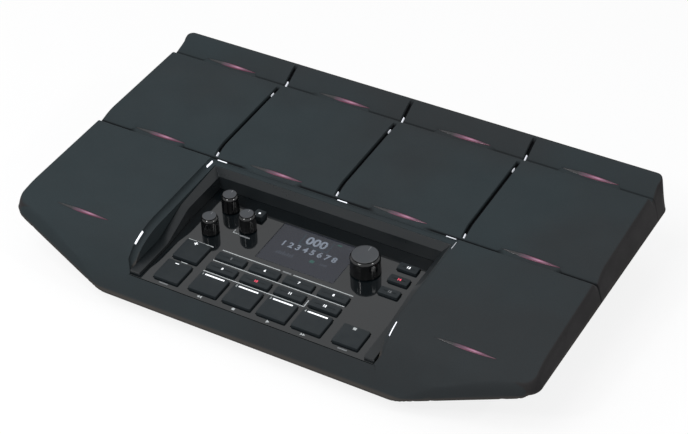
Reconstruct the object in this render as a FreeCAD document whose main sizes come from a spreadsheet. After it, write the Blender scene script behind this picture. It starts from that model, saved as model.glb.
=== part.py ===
import FreeCAD, Part
import Sketcher
import math
import os
import re

# Sampling drum pad: ten rubber pads round a sunken control panel, on a flat-bottomed case.
# World frame: +X to the player's right, +Y to the back, +Z up, origin under the middle of the base.
# Deck frame: tilted about X with the pad deck. Panel frame: tilted about X with the control panel.

doc = FreeCAD.newDocument("SamplingDrumPad")
sheet = doc.addObject("Spreadsheet::Sheet", "Dimensions")

dimensions = {
    # deck frame in the world
    "deckTilt": 3.0,
    "deckOriginY": 1.75,
    "deckOriginZ": 68.0,
    # outline of the rim, in the deck frame
    "rimHalfWidth": 225.0,
    "rimBackY": 134.0,
    "rimCornerY": -116.0,
    "rimFrontY": -133.9,
    "rimLevel": -20.0,
    "rimDiagonal": 10.46,
    "wallTaper": 15.0,
    "blockDrop": 30.0,
    "blockHeight": 64.0,
    "cornerRadius": 13.0,
    "noseRadius": 60.0,
    "reach": 155.0,
    "noseLine": -120.0,
    # saw-tooth side profile of the pads, in the deck frame
    "padPitch": 110.0,
    "rearTilt": 28.3,
    "rearDepth": 18.0,
    "rearFrontY": 108.7,
    "rearFrontZ": -0.2,
    "rearCreaseY": 105.8,
    "rearCreaseZ": -0.9,
    "midBackY": 102.2,
    "midBackZ": 4.9,
    "midBendY": 10.0,
    "midBendZ": 0.55,
    "midCreaseY": -2.8,
    "midCreaseZ": -5.2,
    "frontBackY": -6.2,
    "frontBackZ": -0.4,
    "frontBendY": -94.5,
    "frontBendZ": -5.0,
    "kneeY": -107.5,
    "kneeZ": -8.4,
    "noseY": -118.0,
    "noseZ": -13.2,
    "chinY": -131.6,
    "chinZ": -29.4,
    "lipY": -141.0,
    "lipZ": -46.5,
    # skin and frame build-up, measured down from the pad surface
    "skinThickness": 4.0,
    "frameTop": 9.0,
    "frameThickness": 3.0,
    "skirtGap": 0.3,
    "slotWidth": 2.8,
    "slotDepth": 2.6,
    "slotOverrun": 8.0,
    "clearAbove": 20.0,
    # layers under each pad, down from the pad surface
    "plateTop": 4.3,
    "plateThickness": 1.6,
    "sensorTop": 5.95,
    "sensorThickness": 0.65,
    "foamTop": 6.0,
    "foamThickness": 2.8,
    "sensorRoom": 3.5,
    # lens lights: place in the deck frame, slope of the surface there and size of the leaf
    "lensRearY": 111.6,
    "lensRearZ": 1.3,
    "lensMidY": 2.4,
    "lensMidZ": -2.9,
    "lensMidSlope": 24.0,
    "lensFrontY": -105.0,
    "lensFrontZ": -7.8,
    "lensFrontSlope": 16.0,
    "lensHalfLength": 24.0,
    "lensHalfWidth": 2.3,
    "lensClearance": 0.1,
    "lensTop": -0.6,
    "lensFoot": -8.5,
    "lightBoardTop": -8.7,
    "lightBoardFoot": -9.7,
    "tickWidth": 1.2,
    "tickTop": -1.1,
    "tickFoot": -2.5,
    # tub and tray of the frame
    "tubFloor": -45.0,
    "tubDrop": 6.2,
    "trayBack": 71.5,
    "trayHoleHalfX": 90.5,
    "trayHoleFront": -50.0,
    "trayHoleBack": 56.5,
    "earWidth": 20.0,
    # screw posts
    "postRadius": 4.5,
    "pilotRadius": 1.35,
    "pilotDepth": 14.0,
    "postSideX": 172.0,
    "postBackY": 66.0,
    "postFrontY": -58.0,
    "postMiddleX": 62.0,
    "postMiddleY": 90.0,
    # recess and control panel
    "recessHalfWidth": 105.4,
    "recessBackY": -8.0,
    "recessEdgeX": 110.0,
    "recessEdgeDrop": 5.0,
    "panelTilt": 5.2,
    "panelOriginY": -74.35,
    "panelOriginZ": 37.36,
    "panelHalfWidth": 104.8,
    "panelFront": -53.4,
    "panelBack": 68.5,
    "panelFrontDeck": -131.0,
    "panelThickness": 2.5,
    "trayThickness": 2.5,
    "fitGap": 0.3,
    # bezel, in the panel frame: rim and top of the wall, at the back, the shoulders, the ankles and the arms
    "bezelSeat": 0.05,
    "bezelRimX": 104.6,
    "bezelRimBack": 69.6,
    "bezelRimLevel": 18.0,
    "bezelShoulder": 20.2,
    "bezelShoulderLevel": 14.9,
    "bezelAnkle": -12.8,
    "bezelArmRimX": 104.3,
    "bezelArmRimLevel": 3.3,
    "bezelFront": -51.8,
    "bezelWallX": 99.0,
    "bezelWallBack": 65.7,
    "bezelWallLevel": 12.0,
    "bezelArmWallX": 96.8,
    "bezelArmWallLevel": 3.0,
    # buttons, in the panel frame
    "keyPitch": 29.8,
    "keyFirst": -44.2,
    "keyWidth": 24.8,
    "keyDepth": 20.2,
    "keyRow": -37.0,
    "slimDepth": 8.2,
    "keyCorner": 0.9,
    "slimRowBack": -5.0,
    "slimRowFront": -18.1,
    "arrowX": -76.3,
    "arrowWidth": 21.8,
    "arrowDepth": 21.8,
    "arrowBackRow": -10.6,
    "stopX": 78.0,
    "stopWidth": 21.8,
    "sideX": 80.2,
    "sideWidth": 16.8,
    "sideDepth": 7.6,
    "sideTopRow": 47.9,
    "sideMidRow": 32.8,
    "sideLowRow": 17.6,
    "ringKeyX": -52.3,
    "ringKeyY": 49.6,
    "ringKeySize": 8.6,
    "ringKeyProud": 4.0,
    "buttonProud": 2.2,
    "buttonTravel": 1.0,
    "buttonFlange": 0.9,
    "flangeThickness": 1.1,
    "buttonGap": 0.3,
    # knobs, in the panel frame
    "knobLift": 0.8,
    "knobHeight": 15.0,
    "knobFootRadius": 7.1,
    "knobTopRadius": 5.4,
    "dialFootRadius": 12.1,
    "dialTopRadius": 10.3,
    "dialHeight": 16.0,
    "dialX": 52.0,
    "dialY": 31.8,
    "shaftRadius": 3.0,
    "shaftClearance": 0.05,
    "bushRadius": 3.9,
    "bushRoom": 0.1,
    "bushRoot": 1.4,
    "shaftTop": 12.0,
    "shaftFoot": -6.4,
    "knobCollar": 2.4,
    "potWidth": 11.0,
    "potBoreFloor": -6.7,
    "encoderWidth": 13.0,
    "encoderBoreFloor": -8.5,
    "plungerHeight": 1.2,
    "plungerFoot": -7.62,
    # display, in the panel frame
    "displayX": 3.0,
    "displayY": 30.4,
    "displayWidth": 68.0,
    "displayDepth": 44.6,
    "glassThickness": 1.2,
    "glassLedge": 1.5,
    "glassSeatGap": 0.1,
    "moduleInset": 2.0,
    "moduleTop": -2.7,
    "moduleFoot": -7.5,
    # boards
    "boardTop": -9.6,
    "boardThickness": 1.6,
    "boardHalfWidth": 88.0,
    "boardFront": -48.0,
    "boardBack": 54.0,
    "switchSize": 6.0,
    "switchSlack": 0.35,
    "mainBoardWidth": 190.0,
    "mainBoardDepth": 68.0,
    "mainBoardY": 16.0,
    "mainBoardLevel": 14.0,
    "jackBoardWidth": 330.0,
    "jackBoardDepth": 30.0,
    "jackBoardX": -170.0,
    "jackBoardY": 96.0,
    "jackBoardLevel": 20.4,
    # lower case, in the world frame
    "footHeight": 4.0,
    "floorThickness": 2.5,
    "baseHalfWidth": 188.0,
    "baseFrontY": -122.0,
    "baseCornerX": 122.0,
    "baseCornerY": -78.0,
    "rearWallY": 131.8,
    "caseRimInset": 4.6,
    "caseNoseX": 137.9,
    "caseNoseY": -158.5,
    "caseWall": 2.6,
    # sockets on the rear wall
    "jackLevel": 31.0,
    "jackBore": 3.2,
    "jackBush": 5.6,
    "jackPitch": 26.0,
    "jackFirstX": -156.0,
    "jackCaseWidth": 15.0,
    "jackCaseDepth": 24.0,
    "jackCaseHeight": 16.0,
    "jackDrop": 9.0,
    "bushOverlap": 0.5,
    "bushReach": 4.0,
    "wallHoleGap": 0.15,
    "wallHoleDepth": 12.0,
    "dinCaseWidth": 20.0,
    "dinCaseDepth": 14.0,
    "dinCaseHeight": 19.0,
    "dinRadius": 7.3,
    "dinCircle": 3.75,
    "dinPinRadius": 0.8,
    "usbX": 68.0,
    "usbWidth": 12.0,
    "usbDepth": 16.0,
    "usbHeight": 11.0,
    "usbWall": 1.7,
    "usbPitDepth": 9.0,
    "usbTongueWidth": 5.6,
    "usbTongueHeight": 3.2,
    "usbTongueLevel": -5.1,
    "inletX": 95.5,
    "inletWidth": 11.0,
    "inletDepth": 15.0,
    "inletHeight": 12.0,
    "inletBore": 3.0,
    "inletPin": 1.0,
    "inletPinLength": 8.5,
    "pitDepth": 10.0,
    "socketProud": 0.6,
    # power switch, centred on the jack level
    "rockerX": 128.0,
    "rockerTilt": 8.0,
    "rockerPinInset": 3.0,
    "rockerThickness": 9.6,
    "rockerPinRadius": 1.0,
    "rockerPinLength": 12.6,
    "rockerEdge": 6.6,
    "rockerFoot": 5.0,
    "rockerHalfHeight": 4.2,
    "rockerDip": 3.0,
    "switchWidth": 19.0,
    "switchDepth": 15.5,
    "switchHeight": 13.0,
    "switchLip": 1.0,
    "switchLipDepth": 1.5,
    "switchPitWidth": 15.4,
    "switchPitHeight": 10.4,
    "switchPitDepth": 9.0,
    # feet, screws and inserts in the base
    "footRadius": 10.0,
    "footTaper": 0.8,
    "footSideX": 152.0,
    "footFrontY": -84.0,
    "footRearX": 160.0,
    "footRearY": 108.0,
    "screwHole": 1.7,
    "screwRadius": 1.3,
    "screwLength": 10.0,
    "screwHeadRadius": 2.9,
    "screwHeadHeight": 1.2,
    "counterboreRadius": 3.2,
    "counterboreDepth": 1.4,
    "standoffRadius": 3.2,
    "insertRadius": 2.5,
    "insertLength": 6.0,
    "insertOuterRadius": 3.6,
    "insertFit": 0.05,
    "insertBossRadius": 5.0,
    "insertBossOver": 1.5,
    "insertPitchX": 110.0,
    "insertPitchY": 60.0,
}

for rowNumber, (alias, number) in enumerate(dimensions.items(), start=1):
    sheet.set(f"A{rowNumber}", alias)
    sheet.set(f"B{rowNumber}", str(number))
    sheet.setAlias(f"B{rowNumber}", alias)
doc.recompute()

nodes = {}


def bound(text):
    """Point every alias in an expression at the spreadsheet."""
    def point(match):
        word = match.group(0)
        return "Dimensions." + word if word in dimensions else word
    return re.sub(r"[A-Za-z]\w*", point, str(text))


def size(text):
    """Present value of an expression, as a plain number."""
    result = sheet.evalExpression(bound(text))
    return float(getattr(result, "Value", result))


def keep(thing, label):
    """Mark an object as a sub-part that is written to its own file."""
    thing.Label = label
    nodes[label] = thing
    return thing


def setPlace(thing, x="0", y="0", z="0", tilt="0"):
    """Place an object in the world, tilted about X, with each value bound to the sheet."""
    aboutX = FreeCAD.Rotation(FreeCAD.Vector(1, 0, 0), 1)
    thing.Placement = FreeCAD.Placement(FreeCAD.Vector(0, 0, 0), aboutX)
    for axis, text in (("x", x), ("y", y), ("z", z)):
        thing.setExpression(f"Placement.Base.{axis}", bound(text))
    thing.setExpression("Placement.Rotation.Angle", bound(f"({tilt}) * 1deg"))
    return thing


def onDeck(thing, x="0", y="0", z="0", tilt="0"):
    """Place an object given in deck coordinates, with an extra tilt of its own."""
    worldY = f"deckOriginY + ({y}) * cos(deckTilt * 1deg) - ({z}) * sin(deckTilt * 1deg)"
    worldZ = f"deckOriginZ + ({y}) * sin(deckTilt * 1deg) + ({z}) * cos(deckTilt * 1deg)"
    return setPlace(thing, x, worldY, worldZ, f"deckTilt + {tilt}")


def onPanel(thing, x="0", y="0", z="0"):
    """Place an object given in panel coordinates."""
    worldY = f"panelOriginY + ({y}) * cos(panelTilt * 1deg) - ({z}) * sin(panelTilt * 1deg)"
    worldZ = f"panelOriginZ + ({y}) * sin(panelTilt * 1deg) + ({z}) * cos(panelTilt * 1deg)"
    return setPlace(thing, x, worldY, worldZ, "panelTilt")


def tieTo(sketch, kind, first, firstPoint, second, secondPoint, text):
    """Add one driving dimension to a sketch and bind it to the sheet."""
    number = size(text)
    if second is None:
        constraint = Sketcher.Constraint(kind, first, number)
    else:
        constraint = Sketcher.Constraint(kind, first, firstPoint, second, secondPoint, number)
    index = sketch.addConstraint(constraint)
    sketch.setExpression(f"Constraints[{index}]", bound(text))


def drawPolygon(sketch, points):
    """Draw a closed polygon whose corners are pairs of expressions."""
    start = sketch.GeometryCount
    corners = [FreeCAD.Vector(size(x), size(y), 0) for x, y in points]
    count = len(corners)
    for number in range(count):
        sketch.addGeometry(Part.LineSegment(corners[number], corners[(number + 1) % count]), False)
    for number in range(count):
        following = start + (number + 1) % count
        sketch.addConstraint(Sketcher.Constraint("Coincident", start + number, 2, following, 1))
    for number, (x, y) in enumerate(points):
        tieTo(sketch, "DistanceX", -1, 1, start + number, 1, x)
        tieTo(sketch, "DistanceY", -1, 1, start + number, 1, y)


def drawRectangle(sketch, x, y, width, depth):
    """Draw a rectangle about a centre."""
    halfWidth = f"({width}) / 2"
    halfDepth = f"({depth}) / 2"
    drawPolygon(sketch, [
        (f"{x} - {halfWidth}", f"{y} - {halfDepth}"),
        (f"{x} + {halfWidth}", f"{y} - {halfDepth}"),
        (f"{x} + {halfWidth}", f"{y} + {halfDepth}"),
        (f"{x} - {halfWidth}", f"{y} + {halfDepth}"),
    ])


def drawCircle(sketch, x, y, radius):
    """Draw a circle with a bound centre and radius."""
    index = sketch.GeometryCount
    centre = FreeCAD.Vector(size(x), size(y), 0)
    sketch.addGeometry(Part.Circle(centre, FreeCAD.Vector(0, 0, 1), size(radius)), False)
    tieTo(sketch, "DistanceX", -1, 1, index, 3, x)
    tieTo(sketch, "DistanceY", -1, 1, index, 3, y)
    tieTo(sketch, "Radius", index, 0, None, 0, radius)


def newBody(name):
    return doc.addObject("PartDesign::Body", name)


def sketchOn(body, name, role="XY_Plane", offset="0"):
    """Sketch on one of a body's own origin planes, at an offset along its normal."""
    plane = [item for item in body.Origin.OriginFeatures if item.Role == role][0]
    sketch = body.newObject("Sketcher::SketchObject", name)
    sketch.AttachmentSupport = (plane, [""])
    sketch.MapMode = "FlatFace"
    sketch.setExpression("AttachmentOffset.Base.z", bound(offset))
    doc.recompute()
    return sketch


def padUp(body, sketch, name, length, taper=None):
    pad = body.newObject("PartDesign::Pad", name)
    pad.Profile = sketch
    pad.setExpression("Length", bound(length))
    if taper is not None:
        pad.setExpression("TaperAngle", bound(f"({taper}) * 1deg"))
    sketch.Visibility = False
    body.Tip = pad
    doc.recompute()
    return pad


def pocketDown(body, sketch, name, depth):
    """Cut a sketch down into a body and check that it removed something."""
    before = body.Shape.Volume
    pocket = body.newObject("PartDesign::Pocket", name)
    pocket.Profile = sketch
    pocket.setExpression("Length", bound(depth))
    body.Tip = pocket
    doc.recompute()
    if body.Shape.Volume > before - 1e-6:
        raise RuntimeError(f"{name} cut nothing")
    return pocket


def filletEdges(body, name, radius, picked):
    """Round the edges of a body that a test picks."""
    base = body.Tip
    names = [f"Edge{number}" for number, edge in enumerate(base.Shape.Edges, start=1) if picked(edge)]
    fillet = body.newObject("PartDesign::Fillet", name)
    fillet.Base = (base, names)
    fillet.setExpression("Radius", bound(radius))
    body.Tip = fillet
    doc.recompute()
    return fillet


def block(name, length, width, height):
    """Part box whose corner is its origin."""
    box = doc.addObject("Part::Box", name)
    box.setExpression("Length", bound(length))
    box.setExpression("Width", bound(width))
    box.setExpression("Height", bound(height))
    return box


def rod(name, radius, height):
    cylinder = doc.addObject("Part::Cylinder", name)
    cylinder.setExpression("Radius", bound(radius))
    cylinder.setExpression("Height", bound(height))
    return cylinder


def cutFrom(base, tool, name):
    result = doc.addObject("Part::Cut", name)
    result.Base = base
    result.Tool = tool
    return result


def common(base, tool, name):
    result = doc.addObject("Part::Common", name)
    result.Base = base
    result.Tool = tool
    return result


def joined(shapes, name):
    result = doc.addObject("Part::MultiFuse", name)
    result.Shapes = shapes
    return result


def solidThrough(rings, name):
    """Solid through closed rings of points, with flat faces between them."""
    faces = [Part.Face(Part.makePolygon(ring + ring[:1])) for ring in (rings[0], rings[-1])]
    for lower, upper in zip(rings, rings[1:]):
        for number in range(len(lower)):
            following = (number + 1) % len(lower)
            near, far = lower[number], upper[following]
            for third in (lower[following], upper[number]):
                faces.append(Part.Face(Part.makePolygon([near, third, far, near])))
    shell = Part.Shell(faces)
    shell.sewShape()
    solid = Part.Solid(shell)
    if solid.Volume < 0:
        solid.reverse()
    result = doc.addObject("Part::Feature", name)
    result.Shape = solid.removeSplitter()
    return result


def gathered(shapes, name):
    """Group of separate solids that share one node."""
    result = doc.addObject("Part::Compound", name)
    result.Links = shapes
    return result


# Deck outline and side profile

def outlinePoints(grow):
    """Corners of the deck outline, moved outward by grow from the rim line."""
    side = f"rimHalfWidth + {grow}"
    cornerY = f"rimCornerY - ({grow}) * (1 - sin(rimDiagonal * 1deg)) / cos(rimDiagonal * 1deg)"
    frontY = f"rimFrontY - ({grow})"
    along = f"({grow}) + cos(rimDiagonal * 1deg) * (rimFrontY - ({grow}) - rimCornerY)"
    noseX = f"rimHalfWidth + ({along}) / sin(rimDiagonal * 1deg)"
    backY = f"rimBackY + {grow}"
    right = [(noseX, frontY), (side, cornerY), (side, backY)]
    left = [(f"-({x})", y) for x, y in reversed(right)]
    return right + left


def deckBlock(name, inset, rounded=False):
    """Tapered block inside the deck's walls, drawn below the rim and narrowing upward."""
    body = newBody(name)
    grow = f"(blockDrop * tan(wallTaper * 1deg) - {inset})"
    sketch = sketchOn(body, name + "Outline", offset="rimLevel - blockDrop")
    drawPolygon(sketch, outlinePoints(grow))
    padUp(body, sketch, name + "Pad", "blockHeight", "0 - wallTaper")
    if rounded:
        noseLine = size("noseLine")

        def steep(edge):
            return abs(edge.Vertexes[0].Z - edge.Vertexes[-1].Z) > size("blockHeight") / 2

        def isNose(edge):
            return steep(edge) and edge.CenterOfMass.y < noseLine

        def isCorner(edge):
            return steep(edge) and not isNose(edge)

        filletEdges(body, name + "Corners", "cornerRadius", isCorner)
        filletEdges(body, name + "Noses", "noseRadius", isNose)
    return body


# Share of a drop by which each front corner of the profile moves back and down
frontDrop = {"knee": (0.3, 1.0), "nose": (0.6, 0.9), "chin": (0.9, 0.5), "lip": (1.2, 0.0)}


profileNames = ("back", "rearFront", "rearCrease", "midBack", "midBend", "midCrease", "frontBack",
                "frontBend", "knee", "nose", "chin", "lip")


def profilePoints(drop):
    """Side profile of the deck, lowered by drop and closed far below."""
    def shifted(name):
        back, down = frontDrop[name]
        return f"{name}Y + {back} * {drop}", f"{name}Z - {down} * {drop}"

    lipY, lipZ = shifted("lip")
    rise = "(reach - rearFrontY) * tan(rearTilt * 1deg)"
    return [
        ("reach", f"rearFrontZ + {rise} - {drop}"),
        ("rearFrontY", f"rearFrontZ - {drop}"),
        ("rearCreaseY", f"rearCreaseZ - {drop}"),
        ("midBackY", f"midBackZ - {drop}"),
        ("midBendY", f"midBendZ - {drop}"),
        ("midCreaseY", f"midCreaseZ - {drop}"),
        ("frontBackY", f"frontBackZ - {drop}"),
        ("frontBendY", f"frontBendZ - {drop}"),
        shifted("knee"),
        shifted("nose"),
        shifted("chin"),
        (lipY, lipZ),
        (lipY, "lipZ - reach"),
        ("reach", "lipZ - reach"),
    ]


# Fall of the underside towards the front lip, per millimetre
footSlope = "((lipZ - rimLevel) / (lipY - rimCornerY))"


def footPoints(gap, above):
    """Everything above or below the line along the deck's lower edge, as a side profile."""
    limit = "reach" if above else "0 - 2 * reach"
    farFront = "1.3 * reach"
    return [
        ("reach", f"rimLevel - {gap}"),
        ("rimCornerY", f"rimLevel - {gap}"),
        (f"0 - {farFront}", f"rimLevel - {gap} - (rimCornerY + {farFront}) * {footSlope}"),
        (f"0 - {farFront}", limit),
        ("reach", limit),
    ]


def profileSlab(name, points, halfWidth="rimHalfWidth * 1.2"):
    """Side profile drawn on the YZ plane and padded both ways along X."""
    body = newBody(name)
    sketch = sketchOn(body, name + "Profile", role="YZ_Plane")
    drawPolygon(sketch, points)
    pad = padUp(body, sketch, name + "Pad", f"2 * {halfWidth}")
    pad.Midplane = True
    doc.recompute()
    return body


def deckSolid(name, drop, inset, footed=False, rounded=False):
    """Solid under the deck profile, cut off along the lower edge where it is footed."""
    outline = onDeck(deckBlock(name + "Block", inset, rounded))
    profile = onDeck(profileSlab(name + "Slab", profilePoints(drop)))
    if not footed:
        return common(outline, profile, name)
    whole = common(outline, profile, name + "Uncut")
    foot = onDeck(profileSlab(name + "Foot", footPoints("0", above=False)))
    return cutFrom(whole, foot, name)


def deckBox(name, xLow, xHigh, yLow, yHigh, zLow, zHigh):
    """Box between limits given in the deck frame."""
    box = block(name, f"({xHigh}) - ({xLow})", f"({yHigh}) - ({yLow})", f"({zHigh}) - ({zLow})")
    return onDeck(box, xLow, yLow, zLow)


def panelBox(name, xLow, xHigh, yLow, yHigh, zLow, zHigh):
    """Box between limits given in the panel frame."""
    box = block(name, f"({xHigh}) - ({xLow})", f"({yHigh}) - ({yLow})", f"({zHigh}) - ({zLow})")
    return onPanel(box, xLow, yLow, zLow)


# Rows of pads: origin, tilt and length of the flat stretch of each, in the deck frame
rows = {
    "rear": {"y": "rearFrontY", "z": "rearFrontZ", "tilt": "rearTilt",
             "length": "rearDepth", "columns": (-1.5, -0.5, 0.5, 1.5), "gaps": (-1, 0, 1)},
    "middle": {"y": "midBendY", "z": "midBendZ",
               "tilt": "atan((midBackZ - midBendZ) / (midBackY - midBendY)) / 1deg",
               "length": "midBackY - midBendY", "columns": (-1.5, -0.5, 0.5, 1.5), "gaps": (-1, 0, 1)},
    "front": {"y": "frontBendY", "z": "frontBendZ",
              "tilt": "atan((frontBackZ - frontBendZ) / (frontBackY - frontBendY)) / 1deg",
              "length": "frontBackY - frontBendY", "columns": (-1.5, 1.5), "gaps": ()},
}

# Lens lights: centre and slope of the surface round them, in the deck frame
lenses = {
    "rear": {"y": "lensRearY", "z": "lensRearZ", "tilt": "rearTilt"},
    "middle": {"y": "lensMidY", "z": "lensMidZ", "tilt": "lensMidSlope"},
    "front": {"y": "lensFrontY", "z": "lensFrontZ", "tilt": "lensFrontSlope"},
}


def lensPrisms(name, row, grow, low, high):
    """Leaf-shaped prisms, one per pad of a row, standing across the surface."""
    lens = lenses[row]
    halfLength = size(f"lensHalfLength + {grow}")
    halfWidth = size(f"lensHalfWidth + {grow}")
    prisms = []
    for number, column in enumerate(rows[row]["columns"], start=1):
        sketch = doc.addObject("Sketcher::SketchObject", f"{name}Leaf{number}")
        left = FreeCAD.Vector(-halfLength, 0, 0)
        right = FreeCAD.Vector(halfLength, 0, 0)
        sketch.addGeometry(Part.Arc(left, FreeCAD.Vector(0, halfWidth, 0), right), False)
        sketch.addGeometry(Part.Arc(right, FreeCAD.Vector(0, -halfWidth, 0), left), False)
        prism = doc.addObject("Part::Extrusion", f"{name}Prism{number}")
        prism.Base = sketch
        prism.DirMode = "Custom"
        prism.Dir = FreeCAD.Vector(0, 0, 1)
        prism.setExpression("LengthFwd", bound(f"({high}) - ({low})"))
        prism.Solid = True
        y = f"{lens['y']} - ({low}) * sin({lens['tilt']} * 1deg)"
        z = f"{lens['z']} + ({low}) * cos({lens['tilt']} * 1deg)"
        onDeck(prism, f"{column} * padPitch", y, z, lens["tilt"])
        prisms.append(prism)
    return prisms


def rowBox(name, row, xLow, xHigh, yLow, yHigh, zLow, zHigh):
    """Box in the tilted frame of a row of pads."""
    place = rows[row]
    box = block(name, f"({xHigh}) - ({xLow})", f"({yHigh}) - ({yLow})", f"({zHigh}) - ({zLow})")
    tilt = f"({place['tilt']}) * 1deg"
    worldY = f"{place['y']} + ({yLow}) * cos({tilt}) - ({zLow}) * sin({tilt})"
    worldZ = f"{place['z']} + ({yLow}) * sin({tilt}) + ({zLow}) * cos({tilt})"
    return onDeck(box, xLow, worldY, worldZ, place["tilt"])


def recessEdge(name, side):
    """Everything above the sloping edge of the rubber along one side of the recess."""
    rings = []
    overrun = 1
    rise = "(frontBackZ - frontBendZ) / (frontBackY - frontBendY)"
    for x in (size("recessEdgeX") + overrun, size("recessHalfWidth") - overrun):
        drop = (size("recessEdgeX") - x) * size("recessEdgeDrop / (recessEdgeX - recessHalfWidth)")
        edge = dict(zip(profileNames, profilePoints(str(drop))))
        backZ = f"frontBackZ + (recessBackY - frontBackY) * {rise} - {drop}"
        line = [("recessBackY", backZ)]
        line += [edge[corner] for corner in ("frontBend", "knee", "nose", "chin", "lip")]
        line += [("0 - reach", edge["lip"][1]), ("0 - reach", "clearAbove"), ("recessBackY", "clearAbove")]
        rings.append([FreeCAD.Vector(side * x, size(y), size(z)) for y, z in line])
    return onDeck(solidThrough(rings, name))


def makeSkin():
    """One moulded rubber skin over all ten pads, with its skirt, slots and light openings."""
    outer = deckSolid("SkinOuter", "0", "0", footed=True, rounded=True)
    inner = deckSolid("SkinInner", "skinThickness", "skinThickness")
    wallX = "(recessHalfWidth + skinThickness)"
    keepWall = deckBox("SkinRecessWall", f"0 - {wallX}", wallX, "0 - reach", "recessBackY + skinThickness",
                       "0 - reach", "reach")
    hollow = cutFrom(inner, keepWall, "SkinHollow")
    shell = cutFrom(outer, hollow, "SkinShell")
    unfooted = deckSolid("SkinWallOuter", "0", "0", rounded=True)
    wallFoot = panelBox("SkinWallFoot", "0 - reach", "reach", "0 - reach", "reach",
                        "fitGap - panelThickness", "reach")
    wallPlan = common(keepWall, wallFoot, "SkinWallPlan")
    lined = joined([shell, common(unfooted, wallPlan, "SkinWall")], "SkinLined")
    above = panelBox("SkinAbovePanel", "0 - reach", "reach", "0 - reach", "reach", "0", "reach")
    within = deckBox("SkinRecessPlan", "0 - recessHalfWidth", "recessHalfWidth", "0 - reach", "recessBackY",
                     "0 - reach", "reach")
    plan = joined([within, recessEdge("SkinEdgeRight", 1), recessEdge("SkinEdgeLeft", -1)], "SkinRecessShape")
    recess = common(above, plan, "SkinRecess")
    opening = deckBox("SkinPanelOpening", "0 - recessHalfWidth", "recessHalfWidth",
                      "panelFrontDeck - fitGap", "recessBackY", "0 - reach", "0")
    cutters = [recess, opening]
    for row in ("rear", "middle"):
        for gap in rows[row]["gaps"]:
            low = f"{gap} * padPitch - slotWidth / 2"
            high = f"{gap} * padPitch + slotWidth / 2"
            cutters.append(rowBox(f"{row}Slot{gap + 2}", row, low, high, "0 - slotOverrun",
                                  rows[row]["length"], "0 - slotDepth", "clearAbove"))
    for row in rows:
        cutters += lensPrisms(f"{row}LensHole", row, "lensClearance", "0 - 3 * skinThickness",
                              "skinThickness")
    tools = joined(cutters, "SkinCutters")
    keep(cutFrom(lined, tools, "PadSkin"), "pad_skin")


def lensBoxes(name, row, grow, low, high):
    """Boxes across the surface at the lens lights of a row."""
    lens = lenses[row]
    tilt = f"({lens['tilt']}) * 1deg"
    halfLength = f"(lensHalfLength + {grow})"
    halfWidth = f"(lensHalfWidth + {grow})"
    y = f"{lens['y']} - {halfWidth} * cos({tilt}) - ({low}) * sin({tilt})"
    z = f"{lens['z']} - {halfWidth} * sin({tilt}) + ({low}) * cos({tilt})"
    boxes = []
    for number, column in enumerate(rows[row]["columns"], start=1):
        box = block(f"{name}{number}", f"2 * {halfLength}", f"2 * {halfWidth}", f"({high}) - ({low})")
        boxes.append(onDeck(box, f"{column} * padPitch - {halfLength}", y, z, lens["tilt"]))
    return boxes


# Screw posts: place and top level, in the world frame
posts = {
    "right": {"x": "postSideX", "y": "postBackY", "top": 64},
    "rightFront": {"x": "postSideX", "y": "postFrontY", "top": 51},
    "left": {"x": "0 - postSideX", "y": "postBackY", "top": 64},
    "leftFront": {"x": "0 - postSideX", "y": "postFrontY", "top": 51},
    "back": {"x": "postMiddleX", "y": "postMiddleY", "top": 66.5},
    "backLeft": {"x": "0 - postMiddleX", "y": "postMiddleY", "top": 66.5},
}


def makeFrame():
    """Rigid deck under the pads, with a skirt, a tub round the recess, a panel tray and screw posts."""
    top = "frameTop"
    under = "(frameTop + frameThickness)"
    outer = deckSolid("FrameOuter", top, "(skinThickness + skirtGap)", footed=True)
    inner = deckSolid("FrameInner", under, "(skinThickness + skirtGap + frameThickness)")
    shell = cutFrom(outer, inner, "FrameShell")
    wallX = "(recessHalfWidth + skinThickness + skirtGap)"
    wallY = "recessBackY + skinThickness + skirtGap"
    tubBlock = deckBox("FrameTubBlock", f"-({wallX} + frameThickness)", f"{wallX} + frameThickness",
                       "kneeY", f"{wallY} + frameThickness", "tubFloor", "0 - frameTop - tubDrop")
    tubHole = deckBox("FrameTubHole", f"-{wallX}", wallX, "0 - reach", wallY, "0 - reach", "reach")
    tub = cutFrom(tubBlock, tubHole, "FrameTub")
    opened = cutFrom(shell, tubHole, "FrameOpened")
    tray = panelBox("FrameTray", f"-({wallX} + 1)", f"{wallX} + 1", "panelFront + 0.5", "trayBack",
                    "-(panelThickness + trayThickness)", "0 - panelThickness")
    trayHole = panelBox("FrameTrayHole", "0 - trayHoleHalfX", "trayHoleHalfX", "trayHoleFront",
                        "trayHoleBack", "0 - clearAbove", "clearAbove")
    trayEars = []
    earSides = {"Right": "recessHalfWidth - fitGap", "Left": "fitGap - recessHalfWidth - earWidth"}
    for name, low in earSides.items():
        trayEars.append(deckBox(f"FrameTrayEar{name}", low, f"{low} + earWidth", "0 - reach",
                                "rimCornerY + 1", "0 - reach", "reach"))
    trayRing = cutFrom(tray, joined([trayHole] + trayEars, "FrameTrayTools"), "FrameTrayRing")
    columns = []
    pilots = []
    for name, post in posts.items():
        low = "footHeight + floorThickness + skirtGap"
        column = rod(f"{name}Post", "postRadius", f"{post['top']} - ({low})")
        columns.append(setPlace(column, post["x"], post["y"], low))
        pilot = rod(f"{name}Pilot", "pilotRadius", "pilotDepth")
        pilots.append(setPlace(pilot, post["x"], post["y"], f"{low} - 1"))
    whole = joined([opened, tub, trayRing] + columns, "FrameWhole")
    holes = []
    for row in rows:
        holes += lensBoxes(f"{row}LensWell", row, "0.9", "lensFoot - clearAbove", "skinThickness")
    clearance = joined(holes + pilots, "FrameHoles")
    keep(cutFrom(whole, clearance, "PadFrame"), "pad_frame")


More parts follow.
